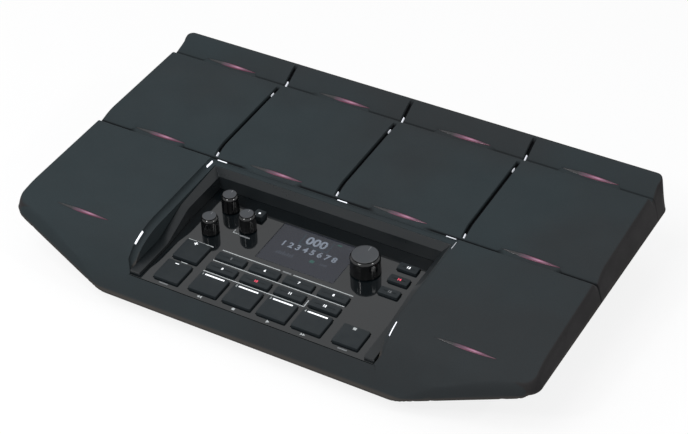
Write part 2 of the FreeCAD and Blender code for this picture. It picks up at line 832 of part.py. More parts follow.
# Layers under each pad of a row: width, extent along the slope, outward shift, size of the sensor
padLayers = {
    "rear": {"width": 94, "front": 5.6, "back": 12.6, "shift": 0, "sensor": 4.4},
    "middle": {"width": 98, "front": 5, "back": 86, "shift": 0, "sensor": 35},
    "front": {"width": 92, "front": 4, "back": 84, "shift": 0.4, "sensor": 35},
}


def makePadLayers():
    """Under the skin of each pad: a steel striking plate, a foam ring and a sensor."""
    plates = []
    foams = []
    sensors = []
    for row, layer in padLayers.items():
        front, back, sensor = layer["front"], layer["back"], layer["sensor"]
        middle = (front + back) / 2
        hole = sensor / 2 + min(size("sensorRoom"), sensor / 8)
        lean = f"cos(({rows[row]['tilt']}) * 1deg)"

        def below(top, thickness="0"):
            return f"0 - ({top} + {thickness}) * {lean}"

        for number, column in enumerate(rows[row]["columns"], start=1):
            centre = f"{column} * padPitch"
            side = 1 if column > 0 else -1
            low = f"{centre} + {side * layer['shift'] - layer['width'] / 2}"
            high = f"{centre} + {side * layer['shift'] + layer['width'] / 2}"
            plates.append(rowBox(f"{row}Plate{number}", row, low, high, front, back,
                                 below("plateTop", "plateThickness"), below("plateTop")))
            slab = rowBox(f"{row}FoamSlab{number}", row, low, high, front, back,
                          below("foamTop", "foamThickness"), below("foamTop"))
            room = rowBox(f"{row}FoamHole{number}", row, f"{centre} - {hole}", f"{centre} + {hole}",
                          middle - hole, middle + hole, "0 - clearAbove", "0")
            foams.append(cutFrom(slab, room, f"{row}Foam{number}"))
            sensors.append(rowBox(f"{row}Sensor{number}", row, f"{centre} - {sensor / 2}",
                                  f"{centre} + {sensor / 2}", middle - sensor / 2, middle + sensor / 2,
                                  below("sensorTop", "sensorThickness"), below("sensorTop")))
    keep(gathered(plates, "Plates"), "pad_plates")
    keep(gathered(foams, "Foams"), "pad_foam")
    keep(gathered(sensors, "Sensors"), "pad_sensors")


# Small white guides at the bottom of the slots: row and extent along its slope
ticks = {
    "rearTick": {"row": "rear", "front": 0.4, "back": 5.4},
    "backTick": {"row": "middle", "front": 76, "back": 82},
    "frontTick": {"row": "middle", "front": 0.2, "back": 4.4},
}


def makeLights():
    """Lens light guides in the pads, the small white guides at the corners, and their boards."""
    guides = []
    boards = []
    for row in rows:
        guides += lensPrisms(f"{row}Guide", row, "0", "lensFoot", "lensTop")
        boards += lensBoxes(f"{row}LightBoard", row, "0.3", "lightBoardFoot", "lightBoardTop")
    keep(gathered(guides, "LightGuides"), "pad_lights")
    keep(gathered(boards, "LightBoards"), "light_boards")
    bars = []
    for name, tick in ticks.items():
        for number, gap in enumerate(rows[tick["row"]]["gaps"], start=1):
            low = f"{gap} * padPitch - tickWidth / 2"
            bars.append(rowBox(f"{name}{number}", tick["row"], low, f"{low} + tickWidth", tick["front"],
                               tick["back"], "tickFoot", "tickTop"))
    keep(gathered(bars, "CornerTicks"), "corner_lights")


# Each corner of the bezel's inner line: its rim and the top of its wall, as half width, place and level
bezelCorners = {
    "back": {"rim": ("bezelRimX", "bezelRimBack", "bezelRimLevel"),
             "wall": ("bezelWallX", "bezelWallBack", "bezelWallLevel")},
    "shoulder": {"rim": ("bezelRimX", "bezelShoulder", "bezelShoulderLevel"),
                 "wall": ("bezelWallX", "bezelShoulder", "bezelWallLevel")},
    "ankle": {"rim": ("bezelArmRimX", "bezelAnkle", "bezelArmRimLevel"),
              "wall": ("bezelArmWallX", "bezelAnkle", "bezelArmWallLevel")},
    "front": {"rim": ("bezelArmRimX", "bezelFront - clearAbove", "bezelArmRimLevel"),
              "wall": ("bezelArmWallX", "bezelFront - clearAbove", "bezelArmWallLevel")},
}


def makeBezel():
    """Plastic trim that lines the recess: a sloping flange and an upright wall down to the panel."""
    slope = "(bezelRimLevel - bezelShoulderLevel) / (bezelRimBack - bezelShoulder)"
    overrun = 5
    flangeOverrun = 1.4
    slab = onPanel(profileSlab("BezelSlab", [
        (f"bezelRimBack + {overrun}", f"bezelRimLevel + {overrun} * {slope}"),
        ("bezelShoulder", "bezelShoulderLevel"),
        ("bezelAnkle", "bezelArmRimLevel"),
        ("bezelFront", "bezelArmRimLevel"),
        ("bezelFront", "bezelSeat"),
        (f"bezelRimBack + {overrun}", "bezelSeat"),
    ]))
    halfWidth = "(recessHalfWidth - fitGap)"
    plan = deckBox("BezelPlan", f"0 - {halfWidth}", halfWidth, "0 - 2 * reach", "recessBackY - fitGap",
                   "0 - reach", "reach")
    outline = common(slab, plan, "BezelOutline")
    rings = {"below": [], "wall": [], "rim": [], "above": []}
    for corner in bezelCorners.values():
        wall = FreeCAD.Vector(*[size(text) for text in corner["wall"]])
        rim = FreeCAD.Vector(*[size(text) for text in corner["rim"]])
        beyond = wall + (rim - wall) * flangeOverrun
        rings["below"].append(FreeCAD.Vector(wall.x, wall.y, -size("clearAbove")))
        rings["wall"].append(wall)
        rings["rim"].append(beyond)
        rings["above"].append(FreeCAD.Vector(beyond.x, beyond.y, 2 * size("clearAbove")))
    closed = [half + [FreeCAD.Vector(-point.x, point.y, point.z) for point in reversed(half)]
              for half in rings.values()]
    opening = onPanel(solidThrough(closed, "BezelOpening"))
    keep(cutFrom(outline, opening, "Bezel"), "panel_bezel")


def buttonTable():
    """Every button of the panel: centre, width, depth and height above the panel."""
    table = {
        "kit_minus_button": ("arrowX", "keyRow", "arrowWidth", "arrowDepth", "buttonProud"),
        "kit_plus_button": ("arrowX", "arrowBackRow", "arrowWidth", "arrowDepth", "buttonProud"),
        "stop_sound_button": ("stopX", "keyRow", "stopWidth", "keyDepth", "buttonProud"),
        "home_button": ("ringKeyX", "ringKeyY", "ringKeySize", "ringKeySize", "ringKeyProud"),
    }
    keyRows = {"number_button": ("keyRow", "keyDepth"), "upper_slim_button": ("slimRowBack", "slimDepth"),
               "lower_slim_button": ("slimRowFront", "slimDepth")}
    for kind, (level, depth) in keyRows.items():
        for number in range(4):
            column = f"keyFirst + {number} * keyPitch"
            table[f"{kind}_{number + 1}"] = (column, level, "keyWidth", depth, "buttonProud")
    for number, level in enumerate(("sideTopRow", "sideMidRow", "sideLowRow"), start=1):
        table[f"side_button_{number}"] = ("sideX", level, "sideWidth", "sideDepth", "buttonProud")
    return table


knobTable = {"volume_knob_1": (-77.3, 17.4), "volume_knob_2": (-77.3, 47.0), "volume_knob_3": (-52.9, 32.9)}


def makePanel():
    """Flat control panel with a hole for each button and shaft and a window for the display."""
    body = newBody("Panel")
    sketch = sketchOn(body, "PanelOutline", offset="0 - panelThickness")
    middle = "(panelFront + panelBack) / 2"
    drawRectangle(sketch, "0", middle, "2 * panelHalfWidth", "panelBack - panelFront")
    padUp(body, sketch, "PanelPad", "panelThickness")
    holes = sketchOn(body, "PanelHoles")
    for x, y, width, depth, proud in buttonTable().values():
        drawRectangle(holes, x, y, f"{width} + 2 * buttonGap", f"{depth} + 2 * buttonGap")
    drawRectangle(holes, "displayX", "displayY", "displayWidth - 2 * glassLedge",
                  "displayDepth - 2 * glassLedge")
    for x, y in list(knobTable.values()) + [("dialX", "dialY")]:
        drawCircle(holes, x, y, "bushRadius + bushRoom")
    pocketDown(body, holes, "PanelHolesPocket", "2 * panelThickness")
    seat = sketchOn(body, "PanelGlassSeat")
    drawRectangle(seat, "displayX", "displayY", "displayWidth + 2 * glassSeatGap",
                  "displayDepth + 2 * glassSeatGap")
    pocketDown(body, seat, "PanelGlassSeatPocket", "glassThickness")
    keep(onPanel(body), "control_panel")


def makeButtons():
    """Buttons that slide through the panel, each with a retaining flange under it."""
    under = "(panelThickness + buttonGap + flangeThickness)"
    for label, (x, y, width, depth, proud) in buttonTable().items():
        body = newBody(label + "Body")
        cap = sketchOn(body, label + "Cap", offset=f"0 - {under}")
        drawRectangle(cap, "0", "0", width, depth)
        padUp(body, cap, label + "CapPad", f"{proud} + {under}")

        def upright(edge):
            return abs(edge.Vertexes[0].Z - edge.Vertexes[-1].Z) > size("panelThickness")

        filletEdges(body, label + "Corners", "keyCorner", upright)
        flange = sketchOn(body, label + "Flange", offset=f"0 - {under}")
        drawRectangle(flange, "0", "0", f"{width} + 2 * buttonFlange", f"{depth} + 2 * buttonFlange")
        padUp(body, flange, label + "FlangePad", "flangeThickness")
        keep(onPanel(body, x, y), label)


def makeKnobs():
    """Three small knobs and the large dial, each on its own shaft."""
    pots = []
    for number, (label, (x, y)) in enumerate(knobTable.items(), start=1):
        makeKnob(label, x, y, "knobFootRadius", "knobTopRadius", "knobHeight", "1.0")
        makeShaft(f"pot_shaft_{number}", x, y)
        pots.append(makePot(f"Pot{number}", x, y, "potWidth", "potBoreFloor"))
    keep(gathered(pots, "Pots"), "pot_bodies")
    makeKnob("value_dial", "dialX", "dialY", "dialFootRadius", "dialTopRadius", "dialHeight", "1.4")
    makeShaft("dial_shaft", "dialX", "dialY")
    keep(makePot("Encoder", "dialX", "dialY", "encoderWidth", "encoderBoreFloor"), "encoder_body")
    plunger = rod("EncoderPlunger", "shaftRadius - 0.4", "plungerHeight")
    keep(onPanel(plunger, "dialX", "dialY", "plungerFoot"), "encoder_plunger")


def makeKnob(label, x, y, footRadius, topRadius, height, roundness):
    """Turned knob: a cone that widens to its foot, with a rounded crown and a blind bore."""
    body = newBody(label + "Body")
    sketch = sketchOn(body, label + "Section", role="XZ_Plane")
    drawPolygon(sketch, [
        ("shaftRadius", "knobLift"),
        (f"{footRadius}", "knobLift"),
        (f"{footRadius}", "knobLift + knobCollar"),
        (f"{topRadius}", f"knobLift + {height}"),
        ("0", f"knobLift + {height}"),
        ("0", "shaftTop"),
        ("shaftRadius", "shaftTop"),
    ])
    turn = body.newObject("PartDesign::Revolution", label + "Turn")
    turn.Profile = sketch
    turn.ReferenceAxis = (sketch, ["V_Axis"])
    turn.Angle = 360
    body.Tip = turn
    doc.recompute()

    def crown(edge):
        box = edge.BoundBox
        return box.ZMin > size("shaftTop + 1") and box.XLength > size("shaftRadius")

    filletEdges(body, label + "Crown", roundness, crown)
    keep(onPanel(body, x, y), label)


def makeShaft(label, x, y):
    shaft = rod(label + "Rod", "shaftRadius", "shaftTop - shaftFoot")
    keep(onPanel(shaft, x, y, "shaftFoot"), label)


def makePot(name, x, y, width, boreFloor):
    """Rotary part soldered to the panel board: a square case and a round bush for the shaft."""
    half = f"{width} / 2"
    case = panelBox(name + "Case", f"{x} - {half}", f"{x} + {half}", f"{y} - {half}", f"{y} + {half}",
                    "boardTop", "0 - panelThickness - 0.4")
    bush = rod(name + "Bush", "bushRadius", "panelThickness + bushRoot")
    onPanel(bush, x, y, "0 - panelThickness - bushRoot")
    bore = onPanel(rod(name + "Bore", "shaftRadius + shaftClearance", "clearAbove"), x, y, boreFloor)
    return cutFrom(joined([case, bush], name + "Whole"), bore, name)


def makeDisplay():
    """Cover glass flush in the panel and the display module clipped under it."""
    glass = newBody("DisplayGlass")
    sketch = sketchOn(glass, "GlassOutline", offset="0 - glassThickness")
    drawRectangle(sketch, "displayX", "displayY", "displayWidth", "displayDepth")
    padUp(glass, sketch, "GlassPad", "glassThickness - glassSeatGap")
    keep(onPanel(glass), "display_window")
    halfWidth = "(displayWidth / 2 - moduleInset)"
    halfDepth = "(displayDepth / 2 - moduleInset)"
    module = panelBox("DisplayModule", f"displayX - {halfWidth}", f"displayX + {halfWidth}",
                      f"displayY - {halfDepth}", f"displayY + {halfDepth}", "moduleFoot", "moduleTop")
    keep(module, "display_module")


def makeBoards():
    """Panel board with its switches, main board on standoffs and jack board at the back."""
    board = panelBox("PanelBoard", "0 - boardHalfWidth", "boardHalfWidth", "boardFront", "boardBack",
                     "boardTop - boardThickness", "boardTop")
    keep(board, "panel_board")
    switches = []
    half = "switchSize / 2"
    top = "0 - panelThickness - buttonGap - flangeThickness - buttonTravel - switchSlack"
    for number, (x, y, width, depth, proud) in enumerate(buttonTable().values(), start=1):
        switches.append(panelBox(f"Switch{number}", f"{x} - {half}", f"{x} + {half}", f"{y} - {half}",
                                 f"{y} + {half}", "boardTop", top))
    keep(gathered(switches, "PanelSwitches"), "panel_switches")
    main = block("MainBoard", "mainBoardWidth", "mainBoardDepth", "boardThickness")
    keep(setPlace(main, "0 - mainBoardWidth / 2", "mainBoardY", "mainBoardLevel"), "main_board")
    jack = block("JackBoard", "jackBoardWidth", "jackBoardDepth", "boardThickness")
    keep(setPlace(jack, "jackBoardX", "jackBoardY", "jackBoardLevel"), "jack_board")


jackCount = 6
dinPlaces = (12, 38)


def socketPlaces():
    return [size("jackFirstX") + number * size("jackPitch") for number in range(jackCount)]


def rearward(thing, x, y, z):
    """Turn a rod so that it runs towards the back from a given place."""
    return setPlace(thing, x, y, z, "-90")


def wallBlock(name, x, width, depth, height, rise, proud="0"):
    """Block with its back face proud of the inside of the rear wall, centred on x."""
    thing = block(name, width, f"{depth} + ({proud})", height)
    left = f"{x} - ({width}) / 2"
    return setPlace(thing, left, f"rearWallY - caseWall - {depth}", f"jackLevel + ({rise})")


def makeSockets():
    """Quarter-inch jacks, round data sockets, a square data socket and the power inlet."""
    inside = "rearWallY - caseWall"
    jacks = []
    for number, x in enumerate(socketPlaces(), start=1):
        case = wallBlock(f"JackCase{number}", x, "jackCaseWidth", "jackCaseDepth", "jackCaseHeight",
                         "0 - jackDrop")
        nose = rearward(rod(f"JackBush{number}", "jackBush", "caseWall + bushReach"), x,
                        f"{inside} - bushOverlap", "jackLevel")
        bore = rearward(rod(f"JackBore{number}", "jackBore", "2 * clearAbove"), x,
                        f"{inside} - 0.75 * jackCaseDepth", "jackLevel")
        jacks.append(cutFrom(joined([case, nose], f"JackWhole{number}"), bore, f"Jack{number}"))
    keep(gathered(jacks, "AudioJacks"), "audio_jacks")
    rounds = []
    for number, x in enumerate(dinPlaces, start=1):
        case = wallBlock(f"DinCase{number}", x, "dinCaseWidth", "dinCaseDepth", "dinCaseHeight",
                         "0 - jackDrop")
        face = rod(f"DinFace{number}", "dinRadius", "caseWall")
        rearward(face, x, f"{inside} - bushOverlap", "jackLevel")
        holes = []
        for step in range(5):
            turn = f"{180 + 45 * step} * 1deg"
            pinHole = rod(f"DinHole{number}{step}", "dinPinRadius", "2 * bushReach")
            holes.append(rearward(pinHole, f"{x} + dinCircle * cos({turn})", "rearWallY - 1.5 * bushReach",
                                  f"jackLevel + dinCircle * sin({turn})"))
        whole = joined([case, face], f"DinWhole{number}")
        rounds.append(cutFrom(whole, joined(holes, f"DinHoles{number}"), f"Din{number}"))
    keep(gathered(rounds, "DataSockets"), "data_sockets")
    shell = wallBlock("UsbCase", "usbX", "usbWidth", "usbDepth", "usbHeight", "0 - jackDrop",
                      "caseWall + socketProud")
    pit = block("UsbPit", "usbWidth - 2 * usbWall", "2 * usbPitDepth", "usbHeight - 2 * usbWall")
    setPlace(pit, "usbX - usbWidth / 2 + usbWall", "rearWallY - usbPitDepth",
             "jackLevel - jackDrop + usbWall")
    tongue = block("UsbTongue", "usbTongueWidth", "usbPitDepth", "usbTongueHeight")
    setPlace(tongue, "usbX - usbTongueWidth / 2", "rearWallY - usbPitDepth - bushOverlap",
             "jackLevel + usbTongueLevel")
    keep(joined([cutFrom(shell, pit, "UsbCut"), tongue], "UsbSocket"), "usb_socket")
    inlet = wallBlock("InletCase", "inletX", "inletWidth", "inletDepth", "inletHeight", "0 - jackDrop",
                      "caseWall + socketProud")
    level = "jackLevel - jackDrop + inletHeight / 2"
    well = rearward(rod("InletPit", "inletBore", "2 * pitDepth"), "inletX", "rearWallY - pitDepth", level)
    pin = rearward(rod("InletPin", "inletPin", "inletPinLength"), "inletX",
                   "rearWallY - pitDepth - bushOverlap", level)
    keep(joined([cutFrom(inlet, well, "InletCut"), pin], "PowerInlet"), "power_inlet")


def makePowerSwitch():
    """Panel-mounted rocker switch: a case with a pocket and a rocker that tips on its pin."""
    half = "0 - switchHeight / 2"
    case = wallBlock("SwitchCase", "rockerX", "switchWidth", "switchDepth", "switchHeight", half,
                     "caseWall + bushOverlap")
    lip = block("SwitchLip", "switchWidth + 2 * switchLip", "switchLipDepth", "switchHeight + 2 * switchLip")
    setPlace(lip, "rockerX - switchWidth / 2 - switchLip", "rearWallY", f"jackLevel + ({half}) - switchLip")
    pit = block("SwitchPit", "switchPitWidth", "2 * switchPitDepth", "switchPitHeight")
    setPlace(pit, "rockerX - switchPitWidth / 2", "rearWallY - switchPitDepth",
             "jackLevel - switchPitHeight / 2")
    pinHole = rod("SwitchPinHole", "rockerPinRadius + shaftClearance", "rockerPinLength + 0.8")
    setPlace(pinHole, "rockerX", "rearWallY - rockerPinInset", "jackLevel - rockerPinLength / 2 - 0.4")
    tools = joined([pit, pinHole], "SwitchTools")
    keep(cutFrom(joined([case, lip], "SwitchWhole"), tools, "PowerSwitch"), "power_switch")
    body = newBody("PowerRockerBody")
    section = sketchOn(body, "RockerSection", offset="0 - rockerThickness / 2")
    drawPolygon(section, [
        ("0 - rockerEdge", "rockerHalfHeight"),
        ("0 - rockerFoot", "0 - rockerHalfHeight"),
        ("rockerFoot", "0 - rockerHalfHeight"),
        ("rockerEdge", "rockerHalfHeight"),
        ("0", "rockerDip"),
    ])
    padUp(body, section, "RockerPad", "rockerThickness")
    pin = sketchOn(body, "RockerPin", offset="0 - rockerPinLength / 2")
    drawCircle(pin, "0", "0", "rockerPinRadius")
    padUp(body, pin, "RockerPinPad", "rockerPinLength")
    body.Placement = FreeCAD.Placement(FreeCAD.Vector(0, 0, 0), FreeCAD.Rotation(FreeCAD.Vector(0, 0, 1), 1))
    body.setExpression("Placement.Base.x", bound("rockerX"))
    body.setExpression("Placement.Base.y", bound("rearWallY - rockerPinInset"))
    body.setExpression("Placement.Base.z", bound("jackLevel"))
    body.setExpression("Placement.Rotation.Angle", bound("rockerTilt * 1deg"))
    keep(body, "power_rocker")


def makeTray(name, inset, floor):
    """Solid from the flat base up to the rim, drawn inward by an inset."""
    rear = f"rearWallY - {inset}"
    base = [
        (f"baseCornerX - {inset}", f"baseFrontY + {inset}"),
        (f"baseHalfWidth - {inset}", f"baseCornerY + {inset}"),
        (f"baseHalfWidth - {inset}", rear),
    ]
    side = f"rimHalfWidth - caseRimInset - {inset}"
    rimRear = f"({rear} - deckOriginY + rimLevel * sin(deckTilt * 1deg)) / cos(deckTilt * 1deg)"
    rim = [
        (f"caseNoseX - {inset}", f"caseNoseY + {inset}"),
        (side, f"rimCornerY + caseRimInset + {inset}"),
        (side, rimRear),
    ]
    wires = []
    for corners, level, tilted in ((base, floor, False), (rim, "rimLevel", True)):
        points = []
        for x, y in corners + [(f"-({x})", y) for x, y in reversed(corners)]:
            point = FreeCAD.Vector(size(x), size(y), size(level))
            points.append(deckPlacement().multVec(point) if tilted else point)
        wires.append(Part.makePolygon(points + points[:1]))
    feature = doc.addObject("Part::Feature", name)
    feature.Shape = Part.makeLoft(wires, True, True)
    return feature


def wallHoles():
    """Holes of the rear wall, a little larger than the sockets that stand in them."""
    rounds = [(f"JackWallHole{x:.0f}", x, "jackBush") for x in socketPlaces()]
    rounds += [(f"DinWallHole{x:.0f}", x, "dinRadius") for x in dinPlaces]
    holes = []
    for name, x, radius in rounds:
        hole = rod(name.replace("-", "m"), f"{radius} + wallHoleGap", "wallHoleDepth")
        holes.append(rearward(hole, x, "rearWallY - wallHoleDepth / 2", "jackLevel"))
    squares = {
        "UsbWallHole": ("usbX", "usbWidth", "usbHeight", "0 - jackDrop"),
        "InletWallHole": ("inletX", "inletWidth", "inletHeight", "0 - jackDrop"),
        "SwitchWallHole": ("rockerX", "switchWidth", "switchHeight", "0 - switchHeight / 2"),
    }
    for name, (x, width, height, rise) in squares.items():
        hole = block(name, f"{width} + 2 * wallHoleGap", "wallHoleDepth", f"{height} + 2 * wallHoleGap")
        holes.append(setPlace(hole, f"{x} - {width} / 2 - wallHoleGap", "rearWallY - wallHoleDepth / 2",
                              f"jackLevel + {rise} - wallHoleGap"))
    return holes


# Standoffs that carry the two flat boards: place and the board's level
standoffs = {
    "main": {"xs": (-85, 85), "ys": (24, 76), "level": "mainBoardLevel"},
    "jack": {"xs": (-160, -60, 60, 150), "ys": (104,), "level": "jackBoardLevel"},
}


def makeCase():
    """Lower case: a tray that widens from a flat base to the rim, with an upright rear wall."""
    outer = makeTray("CaseOuter", "0", "footHeight")
    inner = makeTray("CaseInner", "caseWall", "footHeight + floorThickness")
    shell = cutFrom(outer, inner, "CaseShell")
    cover = onDeck(profileSlab("CaseLid", footPoints("0.2", above=True)))
    opened = cutFrom(shell, cover, "CaseOpened")
    bosses = []
    tools = wallHoles()
    for name, post in posts.items():
        hole = rod(f"{name}Hole", "screwHole", "screwLength")
        tools.append(setPlace(hole, post["x"], post["y"], "footHeight - 1"))
        counterbore = rod(f"{name}Counterbore", "counterboreRadius", "counterboreDepth + 1")
        tools.append(setPlace(counterbore, post["x"], post["y"], "footHeight - 1"))
    for number, (x, y) in enumerate(insertPlaces(), start=1):
        boss = rod(f"InsertBoss{number}", "insertBossRadius", "insertLength + insertBossOver - 0.5")
        bosses.append(setPlace(boss, x, y, "footHeight + 0.5"))
        well = rod(f"InsertWell{number}", "insertOuterRadius + insertFit", "insertLength + 1")
        tools.append(setPlace(well, x, y, "footHeight - 1"))
    for board, place in standoffs.items():
        for x in place["xs"]:
            for y in place["ys"]:
                standoff = rod(f"{board}Standoff", "standoffRadius", f"{place['level']} - footHeight - 0.5")
                bosses.append(setPlace(standoff, x, y, "footHeight + 0.5"))
    whole = joined([opened] + bosses, "CaseWhole")
    keep(cutFrom(whole, joined(tools, "CaseTools"), "LowerCase"), "lower_case")


def deckPlacement():
    spin = FreeCAD.Rotation(FreeCAD.Vector(1, 0, 0), size("deckTilt"))
    return FreeCAD.Placement(FreeCAD.Vector(0, size("deckOriginY"), size("deckOriginZ")), spin)


def insertPlaces():
    halfX = size("insertPitchX") / 2
    halfY = size("insertPitchY") / 2
    return [(sideX * halfX, sideY * halfY) for sideX in (-1, 1) for sideY in (-1, 1)]


def makeHardware():
    """Feet, case screws and the threaded inserts for a stand plate."""
    feet = []
    for x, y in (("footSideX", "footFrontY"), ("footRearX", "footRearY")):
        for side in ("", "0 - "):
            foot = doc.addObject("Part::Cone", "Foot")
            foot.setExpression("Radius1", bound("footRadius - footTaper"))
            foot.setExpression("Radius2", bound("footRadius"))
            foot.setExpression("Height", bound("footHeight"))
            feet.append(setPlace(foot, side + x, y))
    keep(gathered(feet, "Feet"), "rubber_feet")
    screws = []
    for name, post in posts.items():
        head = rod(f"{name}ScrewHead", "screwHeadRadius", "screwHeadHeight")
        setPlace(head, post["x"], post["y"], "footHeight + 0.1")
        shank = rod(f"{name}ScrewShank", "screwRadius", "screwLength")
        setPlace(shank, post["x"], post["y"], "footHeight + screwHeadHeight / 2")
        screws.append(joined([head, shank], f"{name}Screw"))
    keep(gathered(screws, "CaseScrews"), "case_screws")
    inserts = []
    for number, (x, y) in enumerate(insertPlaces(), start=1):
        outside = rod(f"InsertOutside{number}", "insertOuterRadius", "insertLength")
        setPlace(outside, x, y, "footHeight")
        bore = rod(f"InsertBore{number}", "insertRadius", "insertLength + 2")
        setPlace(bore, x, y, "footHeight - 1")
        inserts.append(cutFrom(outside, bore, f"Insert{number}"))
    keep(gathered(inserts, "StandInserts"), "stand_inserts")


def checkAndWrite():
    """Recompute, stop on any failed object, then write one file per sub-part."""
    doc.recompute()
    for item in doc.Objects:
        if "Invalid" in item.State or "Error" in item.State:
            raise RuntimeError(f"{item.Name} failed: {item.State}")
    for label, thing in nodes.items():
        if thing.Shape.isNull() or not thing.Shape.isValid():
            raise RuntimeError(f"{label} has no valid shape")
    os.makedirs("parts", exist_ok=True)
    for label, thing in nodes.items():
        thing.Shape.exportStep(f"parts/{label}.step")
        box = thing.Shape.BoundBox
        print(f"{label}: {len(thing.Shape.Solids)} solid(s), x {box.XMin:.1f} {box.XMax:.1f}, "
              f"y {box.YMin:.1f} {box.YMax:.1f}, z {box.ZMin:.1f} {box.ZMax:.1f}")
    print(len(nodes), "sub-parts")


makeSkin()
makeFrame()
makePadLayers()
makeLights()
makeBezel()
makePanel()
makeButtons()
makeKnobs()
makeDisplay()
makeBoards()
makeSockets()
makePowerSwitch()
makeCase()
makeHardware()
checkAndWrite()
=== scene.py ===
import bisect
import math

import bmesh
import bpy
from mathutils import Matrix, Vector
from mathutils.geometry import delaunay_2d_cdt


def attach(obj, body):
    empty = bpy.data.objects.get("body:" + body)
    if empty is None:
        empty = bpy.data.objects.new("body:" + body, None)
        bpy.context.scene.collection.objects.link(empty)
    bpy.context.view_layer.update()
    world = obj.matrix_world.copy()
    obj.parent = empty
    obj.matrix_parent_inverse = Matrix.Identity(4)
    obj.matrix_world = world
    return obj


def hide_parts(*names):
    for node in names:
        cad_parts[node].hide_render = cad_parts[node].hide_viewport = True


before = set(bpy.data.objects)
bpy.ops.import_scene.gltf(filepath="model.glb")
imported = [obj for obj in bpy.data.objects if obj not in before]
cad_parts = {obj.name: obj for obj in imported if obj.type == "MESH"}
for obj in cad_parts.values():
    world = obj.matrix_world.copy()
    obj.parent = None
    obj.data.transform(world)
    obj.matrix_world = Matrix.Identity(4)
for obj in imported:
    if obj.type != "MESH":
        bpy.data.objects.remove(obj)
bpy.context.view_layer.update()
scene = bpy.context.scene
mm = 0.001

# Two tilted frames carry every measure of the part, in millimetres
deckFrame = {"tilt": 3.0, "y": 1.75, "z": 68.0}
panelFrame = {"tilt": 5.2, "y": -74.35, "z": 37.36}


def frameMatrix(place):
    turn = Matrix.Rotation(math.radians(place["tilt"]), 4, "X")
    move = Matrix.Translation(Vector((0, place["y"], place["z"])) * mm)
    return move @ turn @ Matrix.Scale(mm, 4)


deck = frameMatrix(deckFrame)
panel = frameMatrix(panelFrame)


# A point of the panel frame, as y and z of the deck frame
def panelToDeck(v, w):
    point = deck.inverted() @ panel @ Vector((0, v, w))
    return point.y, point.z


def smooth(low, high, value):
    share = min(1.0, max(0.0, (value - low) / (high - low)))
    return share * share * (3 - 2 * share)


# Straight lines through rows of place and value, each corner eased over its own reach
def softLine(rows, value):
    places = [row[0] for row in rows]
    step = min(max(bisect.bisect(places, value), 1), len(rows) - 1)
    (low, first, _), (high, last, _) = rows[step - 1], rows[step]
    result = first + (last - first) * (value - low) / (high - low)
    for number in (step - 1, step):
        if 0 < number < len(rows) - 1:
            before, corner, after = rows[number - 1:number + 2]
            reach = corner[2]
            away = abs(value - corner[0])
            if away < reach:
                turn = ((after[1] - corner[1]) / (after[0] - corner[0])
                        - (corner[1] - before[1]) / (corner[0] - before[0]))
                result += turn / (4 * reach) * (reach - away) ** 2
    return result


# Materials

def newMaterial(name, roughness, specular=0.5, metallic=0.0):
    material = bpy.data.materials.new(name)
    material.use_nodes = True
    shader = material.node_tree.nodes["Principled BSDF"]
    shader.inputs["Roughness"].default_value = roughness
    shader.inputs["Specular IOR Level"].default_value = specular
    shader.inputs["Metallic"].default_value = metallic
    return material


def addNode(material, kind, **settings):
    node = material.node_tree.nodes.new("ShaderNode" + kind)
    for key, value in settings.items():
        setattr(node, key, value)
    return node


def feed(material, source, target):
    if isinstance(source, (int, float, tuple)):
        target.default_value = source
    else:
        material.node_tree.links.new(source, target)


def place(material):
    return addNode(material, "TexCoord").outputs["Object"]


def noise(material, scale, detail=4.0, roughness=0.55):
    node = addNode(material, "TexNoise")
    feed(material, place(material), node.inputs["Vector"])
    node.inputs["Scale"].default_value = scale
    node.inputs["Detail"].default_value = detail
    node.inputs["Roughness"].default_value = roughness
    return node.outputs["Fac"]


def spread(material, source, fromLow, fromHigh, toLow, toHigh):
    node = addNode(material, "MapRange", clamp=True)
    feed(material, source, node.inputs["Value"])
    for key, value in (("From Min", fromLow), ("From Max", fromHigh), ("To Min", toLow), ("To Max", toHigh)):
        node.inputs[key].default_value = value
    return node.outputs["Result"]


# Soft noise spread between two values
def uneven(material, scale, low, high, detail=4.0):
    return spread(material, noise(material, scale, detail), 0.3, 0.7, low, high)


def calculate(material, operation, first, second=0.0):
    node = addNode(material, "Math", operation=operation)
    feed(material, first, node.inputs[0])
    feed(material, second, node.inputs[1])
    return node.outputs[0]


def mixColours(material, share, first, second, blend="MIX"):
    node = addNode(material, "Mix", data_type="RGBA", blend_type=blend)
    feed(material, share, node.inputs[0])
    feed(material, first, node.inputs[6])
    feed(material, second, node.inputs[7])
    return node.outputs[2]


def painted(material, name):
    return addNode(material, "Attribute", attribute_name=name).outputs["Fac"]


def bumped(material, height, strength, distance):
    node = addNode(material, "Bump")
    feed(material, height, node.inputs["Height"])
    node.inputs["Strength"].default_value = strength
    node.inputs["Distance"].default_value = distance
    return node.outputs["Normal"]


# Feed sources into the main shader: colour, roughness, normal, glow or alpha
def wire(material, **sources):
    sockets = {"colour": "Base Color", "roughness": "Roughness", "normal": "Normal",
               "glow": "Emission Color", "glowStrength": "Emission Strength", "alpha": "Alpha"}
    shader = material.node_tree.nodes["Principled BSDF"]
    for key, source in sources.items():
        feed(material, source, shader.inputs[sockets[key]])
    return material


def grey(level, tint=(1.0, 1.0, 1.0)):
    return (level * tint[0], level * tint[1], level * tint[2], 1.0)


